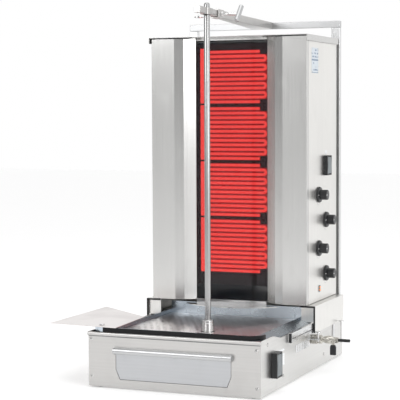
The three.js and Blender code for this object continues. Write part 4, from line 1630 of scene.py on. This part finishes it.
    def _rear_details(self, bench: Bench) -> None:
        """Adds the back panel's screws and its vent grille."""
        y = 785.0
        dome = [(0, 2.0), (2.2, 1.8), (3.6, 1.1), (4.2, 0.1), (0, 0.0)]
        screws = Shape()
        for x in (-256, 0, 256):
            for z in (240, 640, 1060):
                screws.lathe(dome, (x, y, z), Axis.Y, 20)
        bench.piece("back_screws", screws, Finishes.zinc, "heater_cabinet", (), 0.0)
        grille = Shape()
        for row in range(9):
            z = 900.0 + row * 13.0
            grille.prism([(y, z), (y + 2.2, z + 1.5), (y + 2.2, z + 3.0), (y, z + 7.0)], -90, 90, Axis.X)
        bench.piece("back_louvres", grille, Finishes.casing, "heater_cabinet", (), 0.4)


@dataclass
class Studio:
    """Plain pale floor, a soft white room, softboxes and the camera.

    Attributes:
        place: The camera's place in the frame, in metres.
        yaw: How far it looks to the left, in degrees.
        pitch: How far it looks down.
        roll: How far it leans.
        lens: Its lens on a 36 mm frame.
        wall: Brightness of the room in front of the oven, from the left to the right.
    """

    place: Point = (1.66732, -4.21304, 0.84115)
    yaw: float = 22.41
    pitch: float = 3.61
    roll: float = -0.25
    lens: float = 126.34
    wall: Sequence[tuple[float, float]] = (
        (0.0, 0.34),
        (0.08, 0.40),
        (0.30, 0.72),
        (0.44, 0.60),
        (0.66, 0.46),
        (0.80, 0.85),
        (0.90, 1.05),
        (1.0, 0.95),
    )

    def build(self) -> None:
        """Sets up the studio."""
        self._camera()
        self._room()
        self._floor()
        self._softbox("key softbox", (-1.5, -2.7, 2.0), (0.0, 0.0, 0.9), 1.3, 18.0)
        self._softbox("side softbox", (3.0, -2.2, 1.6), (0.1, 0.1, 0.6), 1.4, 22.0)
        self._softbox("overhead softbox", (0.2, -0.6, 3.4), (0.0, 0.0, 0.0), 2.4, 22.0)
        view = bpy.context.scene.view_settings
        view.view_transform = "Standard"
        view.look = "None"

    def _camera(self) -> None:
        """Adds the camera."""
        data = bpy.data.cameras.new("camera")
        data.sensor_width = 36.0
        data.lens = self.lens
        data.dof.use_dof = False
        data.clip_end = 40.0
        camera = bpy.data.objects.new("camera", data)
        bpy.context.scene.collection.objects.link(camera)
        upright = Matrix.Rotation(math.radians(90 - self.pitch), 4, "X")
        turn = Matrix.Rotation(math.radians(self.yaw), 4, "Z")
        lean = Matrix.Rotation(math.radians(self.roll), 4, "Z")
        camera.matrix_world = Matrix.Translation(Vector(self.place)) @ turn @ upright @ lean
        bpy.context.scene.camera = camera

    def _room(self) -> None:
        """Makes the white room, with a grey wall in front of the oven that darkens to the left."""
        world = bpy.data.worlds.new("room")
        bpy.context.scene.world = world
        world.use_nodes = True
        room = Recipe.of_tree(world.node_tree)
        way = room.node("ShaderNodeTexCoord", output="Generated")
        x, y, z = (room.node("ShaderNodeSeparateXYZ", {}, {0: way}, output=n) for n in "XYZ")
        wall = room.node(
            "ShaderNodeValToRGB",
            {"stops": [(place, (level,) * 3) for place, level in self.wall]},
            {0: x * 0.5 + 0.5},
        )
        fall = 1 - (z * -1.0).eased(-0.15, 0.35) * 0.30
        front = room.blend(fall, (0.0, 0.0, 0.0), wall)
        seen = room.blend(y.eased(0.02, 0.45), front, (1.0, 1.0, 1.0))
        back = room.node("ShaderNodeBackground", {}, {"Color": seen, "Strength": 1.0})
        room.node("ShaderNodeOutputWorld", {}, {"Surface": back})

    def _floor(self) -> None:
        """Lays the pale floor."""
        mesh = bpy.data.meshes.new("floor")
        size = 14.0
        corners = [(-size, -size, 0), (size, -size, 0), (size, size, 0), (-size, size, 0)]
        mesh.from_pydata(corners, [], [(0, 1, 2, 3)])
        floor = bpy.data.objects.new("floor", mesh)
        bpy.context.scene.collection.objects.link(floor)
        make = Recipe("pale floor")
        grain = make.noise((5.0, 5.0, 5.0), 3.0)
        make.surface(
            Base_Color=make.blend(grain, (0.93, 0.93, 0.93), (0.95, 0.95, 0.95)),
            Roughness=0.9,
            Emission_Color=(1.0, 1.0, 1.0),
            Emission_Strength=0.24,
        )
        mesh.materials.append(make.material)

    def _softbox(self, name: str, place: Point, target: Point, size: float, power: float) -> None:
        """Hangs a square softbox and turns it to a target."""
        data = bpy.data.lights.new(name, "AREA")
        data.shape = "SQUARE"
        data.size = size
        data.energy = power
        lamp = bpy.data.objects.new(name, data)
        bpy.context.scene.collection.objects.link(lamp)
        lamp.location = place
        way = Vector(target) - Vector(place)
        lamp.rotation_euler = way.to_track_quat("-Z", "Y").to_euler()


def main() -> None:
    """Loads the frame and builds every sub-assembly."""
    logging.basicConfig(level=logging.INFO, format="%(message)s")
    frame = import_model()
    bench = Bench(Datum.read(), frame["nodes"])
    Studio().build()
    assemblies = (
        Base(),
        Drawer(),
        DripPan(),
        SpitDrive(),
        RearFrame(),
        Rails(),
        Switch("motor", "base", 280.0, 117.0, 81.0, 50.0, 76.0, 18.0),
        Switch("cabinet", "heater_cabinet", 270.0, 666.0, 657.0, 48.0, 66.0, 13.0),
        Shelf(),
        Cabinet(),
    )
    for assembly in assemblies:
        assembly.build(bench)
    log.info("made %d pieces", len(bench.made))


if __name__ == "__main__":
    main()
